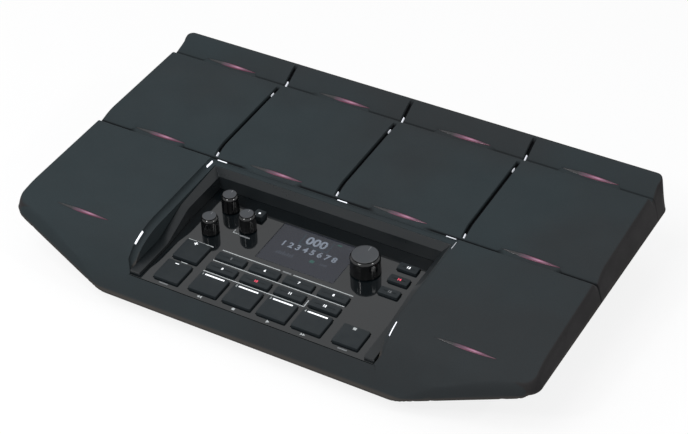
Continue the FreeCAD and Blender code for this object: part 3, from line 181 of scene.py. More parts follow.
# Moulded plastic or rubber: cloudy colour, fine grain and uneven polish
def mouldedMaterial(name, first, second, roughness, grain, depth, specular=0.5, swing=0.07):
    material = newMaterial(name, roughness, specular)
    cloud = spread(material, noise(material, 14.0), 0.35, 0.65, 0.0, 1.0)
    fine = noise(material, grain, 3.0)
    tone = mixColours(material, cloud, first, second)
    speckle = spread(material, fine, 0.3, 0.7, 0.86, 1.14)
    shade = addNode(material, "CombineColor")
    for socket in shade.inputs:
        feed(material, speckle, socket)
    tone = mixColours(material, 1.0, tone, shade.outputs[0], "MULTIPLY")
    polish = uneven(material, 120.0, roughness - swing, roughness + swing)
    return wire(material, colour=tone, roughness=polish, normal=bumped(material, fine, 0.35, depth))


# Rubber tones: a lit tone for the tops, a darker brownish tone that paints shade on the outer walls and also
# varies at random, a near-black tone that paints shade in slots, creases and lens openings, and a lighter
# tone that paints a highlight along the lower edge of the rim
rubberLook = {"cool": (0.0290, 0.0380, 0.0418, 1), "wallShade": (0.0290, 0.0278, 0.0286, 1),
              "shadeTone": (0.0030, 0.0034, 0.0040, 1), "lip": (0.060, 0.056, 0.052, 1),
              "roughness": 0.66, "grain": 2600.0, "grainDepth": 0.00006}


def rubberMaterial():
    look = rubberLook
    material = newMaterial("padRubber", look["roughness"], 0.06)
    cloud = spread(material, noise(material, 5.0), 0.4, 0.6, 0.0, 0.5)
    # Painted shade: share of the darker brownish tone, from the painted wall mask plus random cloud
    wallShadeShare = calculate(material, "ADD", painted(material, "wallShadeShare"), cloud)
    tone = mixColours(material, wallShadeShare, look["cool"], look["wallShade"])
    fine = noise(material, look["grain"], 3.0)
    speckle = spread(material, fine, 0.3, 0.7, 0.0, 1.0)
    lighter = mixColours(material, speckle, grey(0.88), grey(1.12))
    tone = mixColours(material, 1.0, tone, lighter, "MULTIPLY")
    # Painted highlight: a lighter band along the lower edge of the rim
    tone = mixColours(material, painted(material, "lip"), tone, look["lip"])
    # Painted shade: slots, creases and lens openings darkened toward a near-black tone
    tone = mixColours(material, painted(material, "paintedShade"), tone, look["shadeTone"])
    rubbed = spread(material, noise(material, 38.0, 6.0), 0.35, 0.7, -0.06, 0.08)
    polish = calculate(material, "ADD", rubbed, look["roughness"])
    return wire(material, colour=tone, roughness=polish,
                normal=bumped(material, fine, 0.3, look["grainDepth"]))


lensLook = {"dim": (0.0060, 0.0055, 0.0070, 1), "mid": (0.085, 0.040, 0.070, 1),
            "bright": (0.38, 0.17, 0.27, 1), "rim": (0.095, 0.008, 0.035, 1),
            "pitch": 0.110, "halfShare": 0.218, "strength": 0.9, "rimShare": 0.97,
            "stops": ((0.28, "dim"), (0.46, "mid"), (0.64, "bright"), (0.80, "mid"), (0.96, "dim"))}


# Tinted light guide: each leaf glows most a little right of its middle
def lensMaterial():
    look = lensLook
    material = newMaterial("lensPink", 0.28)
    split = addNode(material, "SeparateXYZ")
    feed(material, place(material), split.inputs[0])
    along = calculate(material, "DIVIDE", split.outputs["X"], look["pitch"])
    along = calculate(material, "FRACT", along)
    share = spread(material, along, 0.5 - look["halfShare"], 0.5 + look["halfShare"], 0.0, 1.0)
    ramp = addNode(material, "ValToRGB")
    feed(material, share, ramp.inputs["Fac"])
    ramp.color_ramp.elements[0].color = look["dim"]
    ramp.color_ramp.elements[1].color = look["dim"]
    for position, tint in look["stops"]:
        ramp.color_ramp.elements.new(position).color = look[tint]
    rim = calculate(material, "MULTIPLY", painted(material, "rim"), look["rimShare"])
    lit = spread(material, share, 0.30, 0.50, 0.0, 1.0)
    rim = calculate(material, "MULTIPLY", rim, lit)
    tone = mixColours(material, rim, ramp.outputs["Color"], look["rim"])
    streak = uneven(material, 900.0, 0.85, 1.1)
    strength = calculate(material, "MULTIPLY", streak, look["strength"])
    base = mixColours(material, 0.75, tone, grey(0.02))
    return wire(material, colour=base, glow=tone, glowStrength=strength,
                normal=bumped(material, noise(material, 1500.0), 0.2, 0.00004))


# Milky light guide or printed ink that glows; an optional painted map dims it
def lightMaterial(name, colour, strength, painting=None):
    material = newMaterial(name, 0.35)
    glow = calculate(material, "MULTIPLY", uneven(material, 700.0, 0.9, 1.05), strength)
    if painting:
        glow = calculate(material, "MULTIPLY", glow, painted(material, painting))
    base = mixColours(material, uneven(material, 60.0, 0.4, 0.6), grey(0.03), colour)
    return wire(material, colour=base, glow=colour, glowStrength=glow)


# Screen-printed ink: slightly uneven cover and a dry surface
def inkMaterial(name, colour):
    material = newMaterial(name, 0.6, 0.3)
    cover = spread(material, noise(material, 1800.0, 5.0), 0.3, 0.6, 0.0, 0.25)
    return wire(material, colour=mixColours(material, cover, colour, grey(0.10)),
                roughness=uneven(material, 300.0, 0.5, 0.7))


# Bezel tones by facing: the flange tone is darkened as painted shade, the wall tone lifted as painted light
bezelLook = {"flange": (0.0045, 0.0068, 0.0082, 1), "wall": (0.0115, 0.0145, 0.0165, 1),
             "roughness": 0.33, "swing": 0.06, "grain": 3200.0}


# Satin black moulding, in a lighter tone on its upright wall than on its flange: the tone follows which way
# the surface faces, painted light on the wall and painted shade on the flange
def bezelMaterial():
    look = bezelLook
    material = newMaterial("bezelBlack", look["roughness"], 0.34)
    split = addNode(material, "SeparateXYZ")
    feed(material, addNode(material, "NewGeometry").outputs["Normal"], split.inputs[0])
    facing = spread(material, split.outputs["Z"], 0.10, 0.75, 0.0, 1.0)
    tone = mixColours(material, facing, look["wall"], look["flange"])
    fine = noise(material, look["grain"], 3.0)
    tone = mixColours(material, spread(material, fine, 0.3, 0.7, 0.0, 0.06), tone, grey(0.08))
    polish = uneven(material, 90.0, look["roughness"] - look["swing"], look["roughness"] + look["swing"])
    return wire(material, colour=tone, roughness=polish, normal=bumped(material, fine, 0.2, 0.00002))


# Tinted cover glass with a faint haze and finger marks
def glassMaterial():
    material = newMaterial("coverGlass", 0.08, 0.5)
    smear = spread(material, noise(material, 45.0, 6.0), 0.42, 0.7, 0.04, 0.08)
    tone = mixColours(material, uneven(material, 20.0, 0.0, 1.0),
                      (0.0110, 0.0140, 0.0240, 1), (0.0150, 0.0180, 0.0300, 1))
    return wire(material, colour=tone, roughness=smear,
                alpha=uneven(material, 30.0, 0.78, 0.82))


def metalMaterial(name, first, second, roughness, scale):
    material = newMaterial(name, roughness, 0.5, 1.0)
    brushed = noise(material, scale, 6.0)
    tone = mixColours(material, spread(material, brushed, 0.3, 0.7, 0.0, 1.0), first, second)
    polish = spread(material, brushed, 0.3, 0.7, roughness - 0.08, roughness + 0.12)
    return wire(material, colour=tone, roughness=polish, normal=bumped(material, brushed, 0.15, 0.00003))


# Solder-masked board with faint copper tracks under the mask
def boardMaterial():
    material = newMaterial("boardGreen", 0.32)
    tracks = addNode(material, "TexBrick")
    feed(material, place(material), tracks.inputs["Vector"])
    tracks.inputs["Scale"].default_value = 90.0
    tracks.inputs["Color1"].default_value = (0.012, 0.075, 0.038, 1)
    tracks.inputs["Color2"].default_value = (0.016, 0.090, 0.045, 1)
    tracks.inputs["Mortar"].default_value = (0.030, 0.150, 0.075, 1)
    return wire(material, colour=tracks.outputs["Color"],
                roughness=uneven(material, 200.0, 0.25, 0.42))


print("materials")
rubber = rubberMaterial()
lensPink = lensMaterial()
tickWhite = lightMaterial("tickWhite", (0.90, 0.93, 1.0, 1), 1.0, "glow")
keyLight = lightMaterial("keyLight", (0.93, 0.96, 1.0, 1), 1.0)
keyRed = lightMaterial("keyRed", (0.85, 0.06, 0.12, 1), 0.9)
screenWhite = lightMaterial("screenWhite", (0.72, 0.84, 1.0, 1), 5.5)
screenTeal = lightMaterial("screenTeal", (0.04, 0.20, 0.27, 1), 3.4)
screenGreen = lightMaterial("screenGreen", (0.03, 0.40, 0.26, 1), 4.6)
inkWhite = inkMaterial("inkWhite", (0.50, 0.53, 0.54, 1))
inkDim = inkMaterial("inkDim", (0.20, 0.21, 0.22, 1))
bezelBlack = bezelMaterial()
panelGloss = mouldedMaterial("panelGloss", (0.0026, 0.0042, 0.0052, 1), (0.0036, 0.0054, 0.0066, 1),
                             0.06, 900.0, 0.000003, 0.58, 0.02)
keyRubber = mouldedMaterial("keyRubber", (0.0110, 0.0150, 0.0175, 1), (0.0135, 0.0175, 0.0200, 1),
                            0.58, 3000.0, 0.00004, 0.25)
knobGloss = mouldedMaterial("knobGloss", (0.0030, 0.0032, 0.0036, 1), (0.0042, 0.0044, 0.0048, 1),
                            0.14, 1600.0, 0.00001, 0.5)
knobSatin = mouldedMaterial("knobSatin", (0.0300, 0.0340, 0.0400, 1), (0.0360, 0.0400, 0.0450, 1),
                            0.38, 2600.0, 0.00002, 0.4)
socketBlack = mouldedMaterial("socketBlack", (0.0105, 0.0108, 0.0115, 1), (0.0135, 0.0138, 0.0145, 1),
                              0.45, 2200.0, 0.00004, 0.4)
caseBlack = mouldedMaterial("caseBlack", (0.0200, 0.0208, 0.0220, 1), (0.0235, 0.0240, 0.0250, 1),
                            0.62, 1400.0, 0.00012, 0.3)
frameBlack = mouldedMaterial("frameBlack", (0.0150, 0.0152, 0.0160, 1), (0.0185, 0.0188, 0.0195, 1),
                             0.6, 1800.0, 0.00006, 0.3)
foamBlack = mouldedMaterial("foamBlack", (0.0280, 0.0285, 0.0300, 1), (0.0400, 0.0405, 0.0420, 1),
                            0.85, 900.0, 0.00025, 0.1)
footBlack = mouldedMaterial("footBlack", (0.0140, 0.0140, 0.0145, 1), (0.0180, 0.0180, 0.0185, 1),
                            0.72, 1900.0, 0.00009, 0.2)
displayBlack = mouldedMaterial("displayBlack", (0.0080, 0.0090, 0.0120, 1), (0.0100, 0.0110, 0.0145, 1),
                               0.3, 1200.0, 0.00002, 0.3)
coverGlass = glassMaterial()
steel = metalMaterial("plainSteel", (0.42, 0.42, 0.43, 1), (0.56, 0.56, 0.57, 1), 0.34, 260.0)
brass = metalMaterial("turnedBrass", (0.58, 0.42, 0.18, 1), (0.72, 0.55, 0.27, 1), 0.3, 300.0)
blackSteel = metalMaterial("blackSteel", (0.06, 0.06, 0.065, 1), (0.10, 0.10, 0.105, 1), 0.38, 400.0)
boardGreen = boardMaterial()


# Helpers that turn lists of points into pieces

def newObject(name, data):
    item = bpy.data.objects.new(name, data)
    scene.collection.objects.link(item)
    return item


def newPiece(name, mesh, materials, body, replaced=()):
    piece = newObject(name, mesh)
    for material in materials:
        mesh.materials.append(material)
    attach(piece, body)
    if replaced:
        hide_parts(*replaced)
    return piece


# Turn a bmesh in millimetres into a mesh in metres, smooth but for its sharp edges
def finishMesh(shape, name, matrix, sharpAngle=38.0):
    bmesh.ops.recalc_face_normals(shape, faces=shape.faces)
    shape.transform(matrix)
    limit = math.radians(sharpAngle)
    for face in shape.faces:
        face.smooth = True
    for edge in shape.edges:
        edge.smooth = not edge.is_manifold or edge.calc_face_angle(0.0) < limit
    mesh = bpy.data.meshes.new(name)
    shape.to_mesh(mesh)
    shape.free()
    return mesh


# Corner-rounded rectangle about the origin, anticlockwise from its right side
def roundedOutline(width, depth, radius, steps=5):
    points = []
    for quarter, (sideX, sideY) in enumerate(((1, 1), (-1, 1), (-1, -1), (1, -1))):
        centreX = sideX * (width / 2 - radius)
        centreY = sideY * (depth / 2 - radius)
        for step in range(steps + 1):
            angle = math.radians(90 * (quarter + step / steps))
            points.append((centreX + radius * math.cos(angle), centreY + radius * math.sin(angle)))
    return points


# Join loops of equal length by quads, and cap the first and last
def loopSkin(shape, loops, capLow=True, capHigh=True, material=0):
    rings = [[shape.verts.new(point) for point in loop] for loop in loops]
    count = len(rings[0])
    for low, high in zip(rings, rings[1:]):
        for number in range(count):
            after = (number + 1) % count
            face = shape.faces.new((low[number], low[after], high[after], high[number]))
            face.material_index = material
    if capLow:
        shape.faces.new(rings[0][::-1]).material_index = material
    if capHigh:
        shape.faces.new(rings[-1]).material_index = material
    return rings


# Flat printed line of constant width along points, with square ends
def addRibbon(shape, points, width, level, thickness=0.05, material=0):
    for first, second in zip(points, points[1:]):
        start, end = Vector(first), Vector(second)
        along = (end - start).normalized()
        across = Vector((-along.y, along.x)) * width / 2
        start = start - along * width / 2
        end = end + along * width / 2
        corners = [start - across, end - across, end + across, start + across]
        addOutline(shape, [(corner.x, corner.y) for corner in corners], level, thickness, material)


# Flat printed patch with any outline
def addOutline(shape, outline, level, thickness=0.05, material=0):
    loops = [[(x, y, height) for x, y in outline] for height in (level, level + thickness)]
    loopSkin(shape, loops, material=material)


printDepth = 0.03


# Plain generic figures or signs, centred on a point, as thin solid print
def addText(shape, text, x, y, size, level, material=0, weight=0.03):
    curve = bpy.data.curves.new("print", "FONT")
    curve.body = text
    curve.size = size
    curve.align_x = "CENTER"
    curve.align_y = "CENTER"
    curve.extrude = printDepth
    curve.resolution_u = 3
    curve.offset = weight * size
    holder = newObject("print", curve)
    bpy.context.view_layer.update()
    printed = bpy.data.meshes.new_from_object(holder)
    printed.transform(Matrix.Translation((x, y, level + printDepth)))
    before = len(shape.faces)
    shape.from_mesh(printed)
    shape.faces.ensure_lookup_table()
    for number in range(before, len(shape.faces)):
        shape.faces[number].material_index = material
    bpy.data.objects.remove(holder)
    bpy.data.curves.remove(curve)
    bpy.data.meshes.remove(printed)


# Narrow rounding along the sharp edges of a piece
def soften(piece, width, segments, angle):
    rounding = piece.modifiers.new("softEdges", "BEVEL")
    rounding.width = width * mm
    rounding.segments = segments
    rounding.limit_method = "ANGLE"
    rounding.angle_limit = math.radians(angle)
    rounding.harden_normals = True


# Copy of a node's shape with welded corners and softened edges, in place of the node
def softCopy(node, name, material, bevel, segments=2, angle=25.0, body="root"):
    shape = bmesh.new()
    shape.from_mesh(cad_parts[node].data)
    bmesh.ops.remove_doubles(shape, verts=shape.verts, dist=0.000002)
    for face in shape.faces:
        face.material_index = 0
    mesh = finishMesh(shape, name, Matrix.Identity(4))
    soften(newPiece(name, mesh, [material], body, (node,)), bevel, segments, angle)


# Side profile of the pads from front to back: place, level and half length of each rounding
profile = [
    (-165.0, -90.1, 0.0), (-141.0, -46.5, 0.8), (-131.6, -29.4, 1.6), (-118.0, -13.2, 5.5),
    (-107.5, -8.4, 4.5), (-94.5, -5.0, 7.0), (-6.2, -0.4, 1.3), (-2.8, -5.2, 1.1),
    (10.0, 0.55, 6.0), (102.2, 4.9, 1.7), (105.8, -0.9, 0.9), (108.7, -0.2, 1.1),
    (125.2, 8.69, 4.5), (155.0, 9.6, 0.0),
]
skin = {"rim": -20.0, "taper": 15.0, "halfWidth": 225.0, "back": 134.0, "cornerY": -116.0, "front": -133.9,
        "cornerRadius": 13.0, "noseRadius": 60.0, "noseAngle": 10.46, "noseStart": -100.0,
        "noseNormal": (0.18, -0.98), "lipY": -141.0, "lipZ": -46.5,
        "edge": 6.0, "frontEdge": 2.0, "edgeBlend": (-130.0, -116.0), "gridGap": 7.0, "innerRing": 5.0,
        "wallShadeBand": (0.3, 1.8), "frontShadeBand": (0.4, 1.3), "lipHighlightBand": (0.5, 1.5),
        "creases": ((-1.5, 0.95, 0.6, 1.5), (108.9, 0.55, 0.3, 1.1)), "creaseEnd": (-2.0, 1.5),
        "backSteep": 1.76, "backBlend": 8.0, "slotShadeBlend": (0.25, 0.9)}
slots = {"places": (-110.0, 0.0, 110.0), "halfWidth": 1.4, "depth": 3.4, "rounding": 0.55,
         "spans": ((0.4, 98.8), (107.8, 127.6)), "fade": 1.2}
recess = {"halfWidth": 105.4, "back": -8.0, "front": -131.3, "corner": 0.8, "edgeX": 110.0,
          "drop": 5.2, "padY": -7.6,
          "coveEnd": (-4.2, -2.6), "padSlope": 0.052, "backRounding": 0.5, "lipDepth": 3.0,
          "wallFoot": ((-120.0, -1.5), (-12.8, -1.5), (20.2, 10.0), (75.0, 13.5))}
lenses = {"halfLength": 24.0, "halfWidth": 2.3, "gap": 0.22, "lipWidth": 0.5, "lipDrop": 0.35, "steps": 26,
          "outer": (-165.0, -55.0, 55.0, 165.0), "crown": 0.25, "sink": 0.30, "depth": 2.6,
          "rows": {"rear": 111.6, "middle": 2.4, "front": -105.0}, "lean": 0.56, "pitch": 110.0,
          "farShare": 1.2, "farY": 6.0, "none": 99.0, "loopStep": 0.2, "gridClear": 0.25,
          "rings": (0.0, 0.25, 0.5, 0.75, 0.92, 1.0), "squeeze": (0.9, 0.1), "leastRing": 0.02,
          "rimBlend": (0.2, 0.75)}
# The two middle places of the front row stay bare, as the panel lies there
leafCentres = [(x, y) for row, y in lenses["rows"].items() for x in lenses["outer"]
               if row != "front" or abs(x) > lenses["pitch"]]


def profileLevel(y):
    return softLine(profile, y)


# Edges and arcs of a convex outline given as (x, y, radius), anticlockwise
def roundedPolygon(corners):
    parts = []
    count = len(corners)
    for number in range(count):
        here = Vector(corners[number][:2])
        before = (here - Vector(corners[number - 1][:2])).normalized()
        after = (Vector(corners[(number + 1) % count][:2]) - here).normalized()
        radius = corners[number][2]
        half = before.angle(after) / 2
        reach = radius * math.tan(half)
        normal = Vector((before.y, -before.x))
        centre = here - before * reach - normal * radius
        parts.append({"centre": centre, "radius": radius, "start": here - before * reach,
                      "end": here + after * reach, "from": normal, "to": Vector((after.y, -after.x)),
                      "turn": 2 * half})
    return parts


# Distance of a point from a rounded outline, positive inside
def inwardDistance(parts, x, y):
    point = Vector((x, y))
    nearest = 1e9
    for number, part in enumerate(parts):
        following = parts[(number + 1) % len(parts)]
        along = following["start"] - part["end"]
        if along.length > 1e-6:
            normal = part["to"]
            nearest = min(nearest, (part["end"] - point).dot(normal))
    for part in parts:
        offset = point - part["centre"]
        first, last = part["from"], part["to"]
        beyondFirst = first.x * offset.y - first.y * offset.x
        beforeLast = offset.x * last.y - offset.y * last.x
        if beyondFirst > 0 and beforeLast > 0 and offset.dot(first + last) > 0:
            nearest = min(nearest, part["radius"] - offset.length)
    return nearest


def deckOutline():
    noseX = skin["halfWidth"] + (skin["front"] - skin["cornerY"]) / math.tan(math.radians(skin["noseAngle"]))
    right = [(noseX, skin["front"], skin["noseRadius"]),
             (skin["halfWidth"], skin["cornerY"], skin["cornerRadius"]),
             (skin["halfWidth"], skin["back"], skin["cornerRadius"])]
    return roundedPolygon(right + [(-x, y, radius) for x, y, radius in reversed(right)])


def recessOutline():
    right = [(recess["halfWidth"], recess["front"], recess["corner"]),
             (recess["halfWidth"], recess["back"], recess["corner"])]
    return roundedPolygon(right + [(-x, y, radius) for x, y, radius in reversed(right)])


deckEdge = deckOutline()
recessEdge = recessOutline()
wallSlope = 1 / math.tan(math.radians(skin["taper"]))
footSlope = (skin["lipZ"] - skin["rim"]) / (skin["lipY"] - skin["cornerY"])


def underside(y):
    return skin["rim"] + min(0.0, (y - skin["cornerY"]) * footSlope)


# Slope of the outer wall, steeper at the back
def wallRise(x, y):
    toSide = skin["halfWidth"] - abs(x)
    toBack = skin["back"] - y
    blend = skin["backBlend"]
    return wallSlope * (1 + skin["backSteep"] * smooth(-blend, blend, toSide - toBack))


# Surface level after the hollow cove that runs down to the recess along both sides
def coveLevel(x, y, top):
    width = recess["edgeX"] - recess["halfWidth"]
    share = min((recess["edgeX"] - abs(x)) / width, 1.0)
    low, high = recess["coveEnd"]
    if share > 0 and y < high:
        front = min(y, recess["padY"])
        slope = profileLevel(front + 0.5) - profileLevel(front - 0.5)
        drop = recess["drop"] * math.sqrt(1 - (1 - share) ** 2) * math.sqrt(1 + slope * slope)
        padPlane = profileLevel(front) + (y - front) * recess["padSlope"]
        originY, originZ = panelToDeck(0.0, 0.0)
        panelLevel = originZ + (y - originY) * math.tan(math.radians(panelFrame["tilt"] - deckFrame["tilt"]))
        top = min(top, max(padPlane - drop * (1 - smooth(low, high, y)), panelLevel))
    radius = recess["backRounding"]
    inside = radius - max(y - recess["back"], 0.0)
    if inside > 0 and y >= recess["back"] - 0.01 and share >= 1.0:
        top -= radius - math.sqrt(max(radius * radius - inside * inside, 0.0))
    return top


# Depth of the straight slots between neighbouring pads
def slotDepth(x, y):
    depth = 0.0
    inner, outer = slots["halfWidth"] - slots["rounding"], slots["halfWidth"] + slots["rounding"]
    for place in slots["places"]:
        away = abs(x - place)
        if away > outer:
            continue
        across = 1 - smooth(inner, outer, away)
        for low, high in slots["spans"]:
            ends = smooth(low, low + slots["fade"], y) * (1 - smooth(high - slots["fade"], high, y))
            depth = max(depth, across * ends)
    return depth


# Shade that gathers in the creases between the rows of pads, but not beside the leaves
def creaseShade(x, y):
    shade = max(depth * (1 - smooth(near, far, abs(y - place)))
                for place, depth, near, far in skin["creases"])
    pitch = lenses["pitch"]
    fromLens = abs(abs(x) % pitch - pitch / 2) - lenses["halfLength"]
    return shade * smooth(*skin["creaseEnd"], fromLens)


# Painted shade: a darker brownish tone on the outer walls, and on a thin band above the underside in front
def paintedWallShade(x, y, height):
    if y <= skin["cornerY"]:
        return 1 - smooth(*skin["frontShadeBand"], height)
    return 1 - smooth(*skin["wallShadeBand"], inwardDistance(deckEdge, x, y) - height / wallRise(x, y))


# Half width of a leaf opening at a share of its half length
def leafHalf(share):
    return (lenses["halfWidth"] * lenses["lean"] + lenses["gap"]) * max(0.0, 1 - share * share)


# Nearest leaf opening: how far outside it a point lies, roughly
def lensOffset(x, y):
    nearest = lenses["none"]
    for centreX, centreY in leafCentres:
        share = abs(x - centreX) / (lenses["halfLength"] + lenses["gap"])
        if share <= lenses["farShare"] and abs(y - centreY) <= lenses["farY"]:
            nearest = min(nearest, abs(y - centreY) - leafHalf(share))
    return nearest


# Height of the skin above the deck plane, and how deep in a slot the point lies
def surfaceLevel(x, y):
    groove = slotDepth(x, y)
    top = coveLevel(x, y, profileLevel(y)) - groove * slots["depth"]
    lip = lensOffset(x, y)
    if lip < lenses["lipWidth"]:
        top -= lenses["lipDrop"] * (1 - max(lip, 0.0) / lenses["lipWidth"]) ** 2
    wall = skin["rim"] + inwardDistance(deckEdge, x, y) * wallRise(x, y)
    width = skin["frontEdge"] + (skin["edge"] - skin["frontEdge"]) * smooth(*skin["edgeBlend"], y)
    blend = max(width - abs(top - wall), 0.0) / width
    return min(top, wall) - blend * blend * width / 4, groove


# Sort values, drop near twins and split the wide gaps evenly
def fillGaps(values, gap, least=0.12):
    kept = []
    for value in sorted(values):
        if kept and value - kept[-1] < least:
            continue
        if kept and value - kept[-1] > gap:
            start = kept[-1]
            pieces = math.ceil((value - start) / gap)
            kept += [start + (value - start) * number / pieces for number in range(1, pieces)]
        kept.append(value)
    return kept


# Lines of the surface grid, dense where the profile turns and beside slots and recess
def gridLines():
    shares = (-1.12, -1.0, -0.8, -0.6, -0.4, -0.2, 0.0, 0.2, 0.4, 0.6, 0.8, 1.0, 1.12)
    acrossY = [corner[0] + share * corner[2] for corner in profile[1:-1] for share in shares]
    for low, high in slots["spans"]:
        acrossY += [low + slots["fade"] * step / 4 for step in range(5)]
        acrossY += [high - slots["fade"] * step / 4 for step in range(5)]
    for centreY in lenses["rows"].values():
        acrossY += [centreY + step * 0.9 for step in range(-5, 6)]
    acrossY += [recess["back"] + step for step in (0.0, 0.13, 0.28, 0.5, 0.9, 1.2)]
    acrossX = []
    for place in slots["places"]:
        for step in (0.0, 0.5, 0.85, 1.1, 1.25, 1.4, 1.55, 1.7, 1.95, 2.3):
            acrossX += [place - step, place + step]
    for step in (-0.6, 0.0, 0.13, 0.3, 0.55, 0.9, 1.3, 1.8, 2.4, 3.1, 3.8, 4.6):
        acrossX += [recess["edgeX"] - step, step - recess["edgeX"]]
    acrossX += [-skin["halfWidth"], skin["halfWidth"]]
    acrossY = [y for y in acrossY if skin["lipY"] <= y <= skin["back"]] + [skin["back"], skin["lipY"]]
    return fillGaps(acrossX, skin["gridGap"]), fillGaps(acrossY, skin["gridGap"])


sampling = {"leastSteps": 3, "arcLength": 3, "slantLength": 2.5, "clear": 0.25, "short": 0.3}


# Points round an outline with their outward normals: the grid lines on straights, even steps on arcs
def outlineSamples(parts, linesX, linesY, arcStep=7.0):
    samples = []
    for number, part in enumerate(parts):
        steps = max(sampling["leastSteps"], math.ceil(math.degrees(part["turn"]) / arcStep),
                    math.ceil(part["turn"] * part["radius"] / sampling["arcLength"]))
        for step in range(steps + 1):
            share = step / steps
            angle = math.atan2(part["from"].y, part["from"].x) + part["turn"] * share
            normal = Vector((math.cos(angle), math.sin(angle)))
            samples.append((part["centre"] + normal * part["radius"], normal))
        following = parts[(number + 1) % len(parts)]
        start, end = part["end"], following["start"]
        along = end - start
        lines = linesY if abs(along.y) > abs(along.x) else linesX
        axis = 1 if abs(along.y) > abs(along.x) else 0
        if min(abs(along.x), abs(along.y)) > 1.0:
            count = math.ceil(along.length / sampling["slantLength"])
            shares = [step / count for step in range(1, count)]
        else:
            shares = sorted((value - start[axis]) / along[axis] for value in lines)
        clear = sampling["clear"] / max(along.length, sampling["short"])
        samples += [(start + along * share, part["to"]) for share in shares if clear < share < 1 - clear]
    return samples


# How far outside the rim line the lower edge runs, so that wall and underside meet
def footOffset(point, normal):
    if point.y > skin["cornerY"]:
        return 0.0
    return footSlope * (skin["cornerY"] - point.y) / (wallSlope + footSlope * normal.y)


def leafOutline(centreX, centreY, grow):
    points = []
    half = lenses["halfLength"] + grow
    width = lenses["halfWidth"] * lenses["lean"] + grow
    for side in (1, -1):
        for step in range(lenses["steps"]):
            share = -math.cos(math.pi * step / lenses["steps"]) * side
            points.append((centreX + half * share, centreY - side * width * (1 - share * share)))
    return points


rimRings = {"start": 6.0, "rounds": 4, "least": 0.5, "inset": 1.9, "leastInset": 0.3, "narrow": 2.0,
            "shares": (0.0, 0.07, 0.35, 0.7), "clear": 0.4,
            "beyond": (-1.5, -1.1, -0.75, -0.45, -0.2, 0.0, 0.25, 0.5, 0.8, 1.15, 1.6, 2.4)}


# Loops of points up the outer wall and over its top edge
def rimLoops(rim):
    feet = [(point + normal * footOffset(point, normal), normal) for point, normal in rim]
    reaches = []
    for point, normal in feet:
        reach = rimRings["start"]
        for attempt in range(rimRings["rounds"]):
            inner = point - normal * reach
            rise = profileLevel(inner.y) - underside(point.y)
            reach = max(rise / wallRise(inner.x, inner.y), rimRings["least"])
        reaches.append(reach)
    loops = []
    for share in rimRings["shares"]:
        loops.append([point - normal * max(reach - rimRings["inset"], rimRings["leastInset"]) * share
                      for (point, normal), reach in zip(feet, reaches)])
    for step in rimRings["beyond"] + (skin["innerRing"],):
        loops.append([point - normal * (max(reach, rimRings["narrow"]) + step)
                      for (point, normal), reach in zip(feet, reaches)])
    return loops


# Width of the outer wall beside a grid point, as seen from above
def wallWidth(x, y):
    if y > skin["noseStart"]:
        return (profileLevel(y) - skin["rim"]) / wallRise(x, y)
    footY = min(y, skin["cornerY"])
    width = (profileLevel(y) - underside(footY)) / wallSlope
    return width - footOffset(Vector((x, footY)), Vector(skin["noseNormal"]))


# Grid points clear of the rim, the recess and the leaves
def openGrid(linesX, linesY):
    for y in linesY:
        for x in linesX:
            if inwardDistance(recessEdge, x, y) > -0.05:
                continue
            if lensOffset(x, y) < lenses["lipWidth"] + lenses["gridClear"]:
                continue
            border = max(wallWidth(x, y), rimRings["narrow"]) + skin["innerRing"] + rimRings["clear"]
            if inwardDistance(deckEdge, x, y) >= border:
                yield Vector((x, y))


# Height field over the rim outline, with real openings for the recess and the lenses
def makeSkin():
    linesX, linesY = gridLines()
    flat = []
    edges = []

    def addLoop(loop):
        first = len(flat)
        flat.extend(loop)
        edges.extend((first + number, first + (number + 1) % len(loop)) for number in range(len(loop)))

    loops = rimLoops(outlineSamples(deckEdge, linesX, linesY))
    addLoop(loops[0])
    for loop in loops[1:-1]:
        flat.extend(loop)
    addLoop(loops[-1])
    addLoop([point for point, _ in outlineSamples(recessEdge, linesX, linesY, 20.0)])
    gap = lenses["gap"]
    for centreX, centreY in leafCentres:
        for grow in (gap, gap + lenses["loopStep"], gap + lenses["lipWidth"]):
            addLoop([Vector(point) for point in leafOutline(centreX, centreY, grow)])
    flat.extend(openGrid(linesX, linesY))
    vertices, _, faces = delaunay_2d_cdt(flat, edges, [], 0, 0.0005)[:3]
    shape = bmesh.new()
    shadeLayer, wallShade, lipHighlights = [shape.verts.layers.float.new(name) for name in ("paintedShade", "wallShadeShare", "lip")]
    made = []
    for vertex in vertices:
        level, groove = surfaceLevel(vertex.x, vertex.y)
        point = shape.verts.new((vertex.x, vertex.y, level))
        # Painted shade in the slots and in the creases between the rows
        point[shadeLayer] = max(smooth(*skin["slotShadeBlend"], groove), creaseShade(vertex.x, vertex.y))
        height = level - underside(vertex.y)
        # Painted shade on the outer walls
        point[wallShade] = paintedWallShade(vertex.x, vertex.y, height)
        # Painted highlight along the lower edge
        point[lipHighlights] = 1 - smooth(*skin["lipHighlightBand"], height)
        made.append(point)
    for corners in faces:
        middle = sum((vertices[number] for number in corners), Vector((0, 0))) / len(corners)
        if inwardDistance(recessEdge, middle.x, middle.y) <= 0 and not insideLeaf(middle):
            shape.faces.new([made[number] for number in corners])
    for vertex in [vertex for vertex in shape.verts if not vertex.link_faces]:
        shape.verts.remove(vertex)
    addSkinDepth(shape, shadeLayer, wallShade, lipHighlights)
    mesh = finishMesh(shape, "padSkin", deck, 50.0)
    newPiece("padSkin", mesh, [rubber], "root", ("pad_skin",))
    print("skin", len(mesh.vertices), "points,", len(mesh.polygons), "faces")


def insideLeaf(point):
    for centreX, centreY in leafCentres:
        share = (point.x - centreX) / (lenses["halfLength"] + lenses["gap"])
        if abs(share) < 1 and abs(point.y - centreY) < leafHalf(share):
            return True
    return False


rimFold = {"chamfer": 0.7, "thickness": 3.8, "inside": 5.0, "roomShare": 0.5, "chamferShare": 0.6}


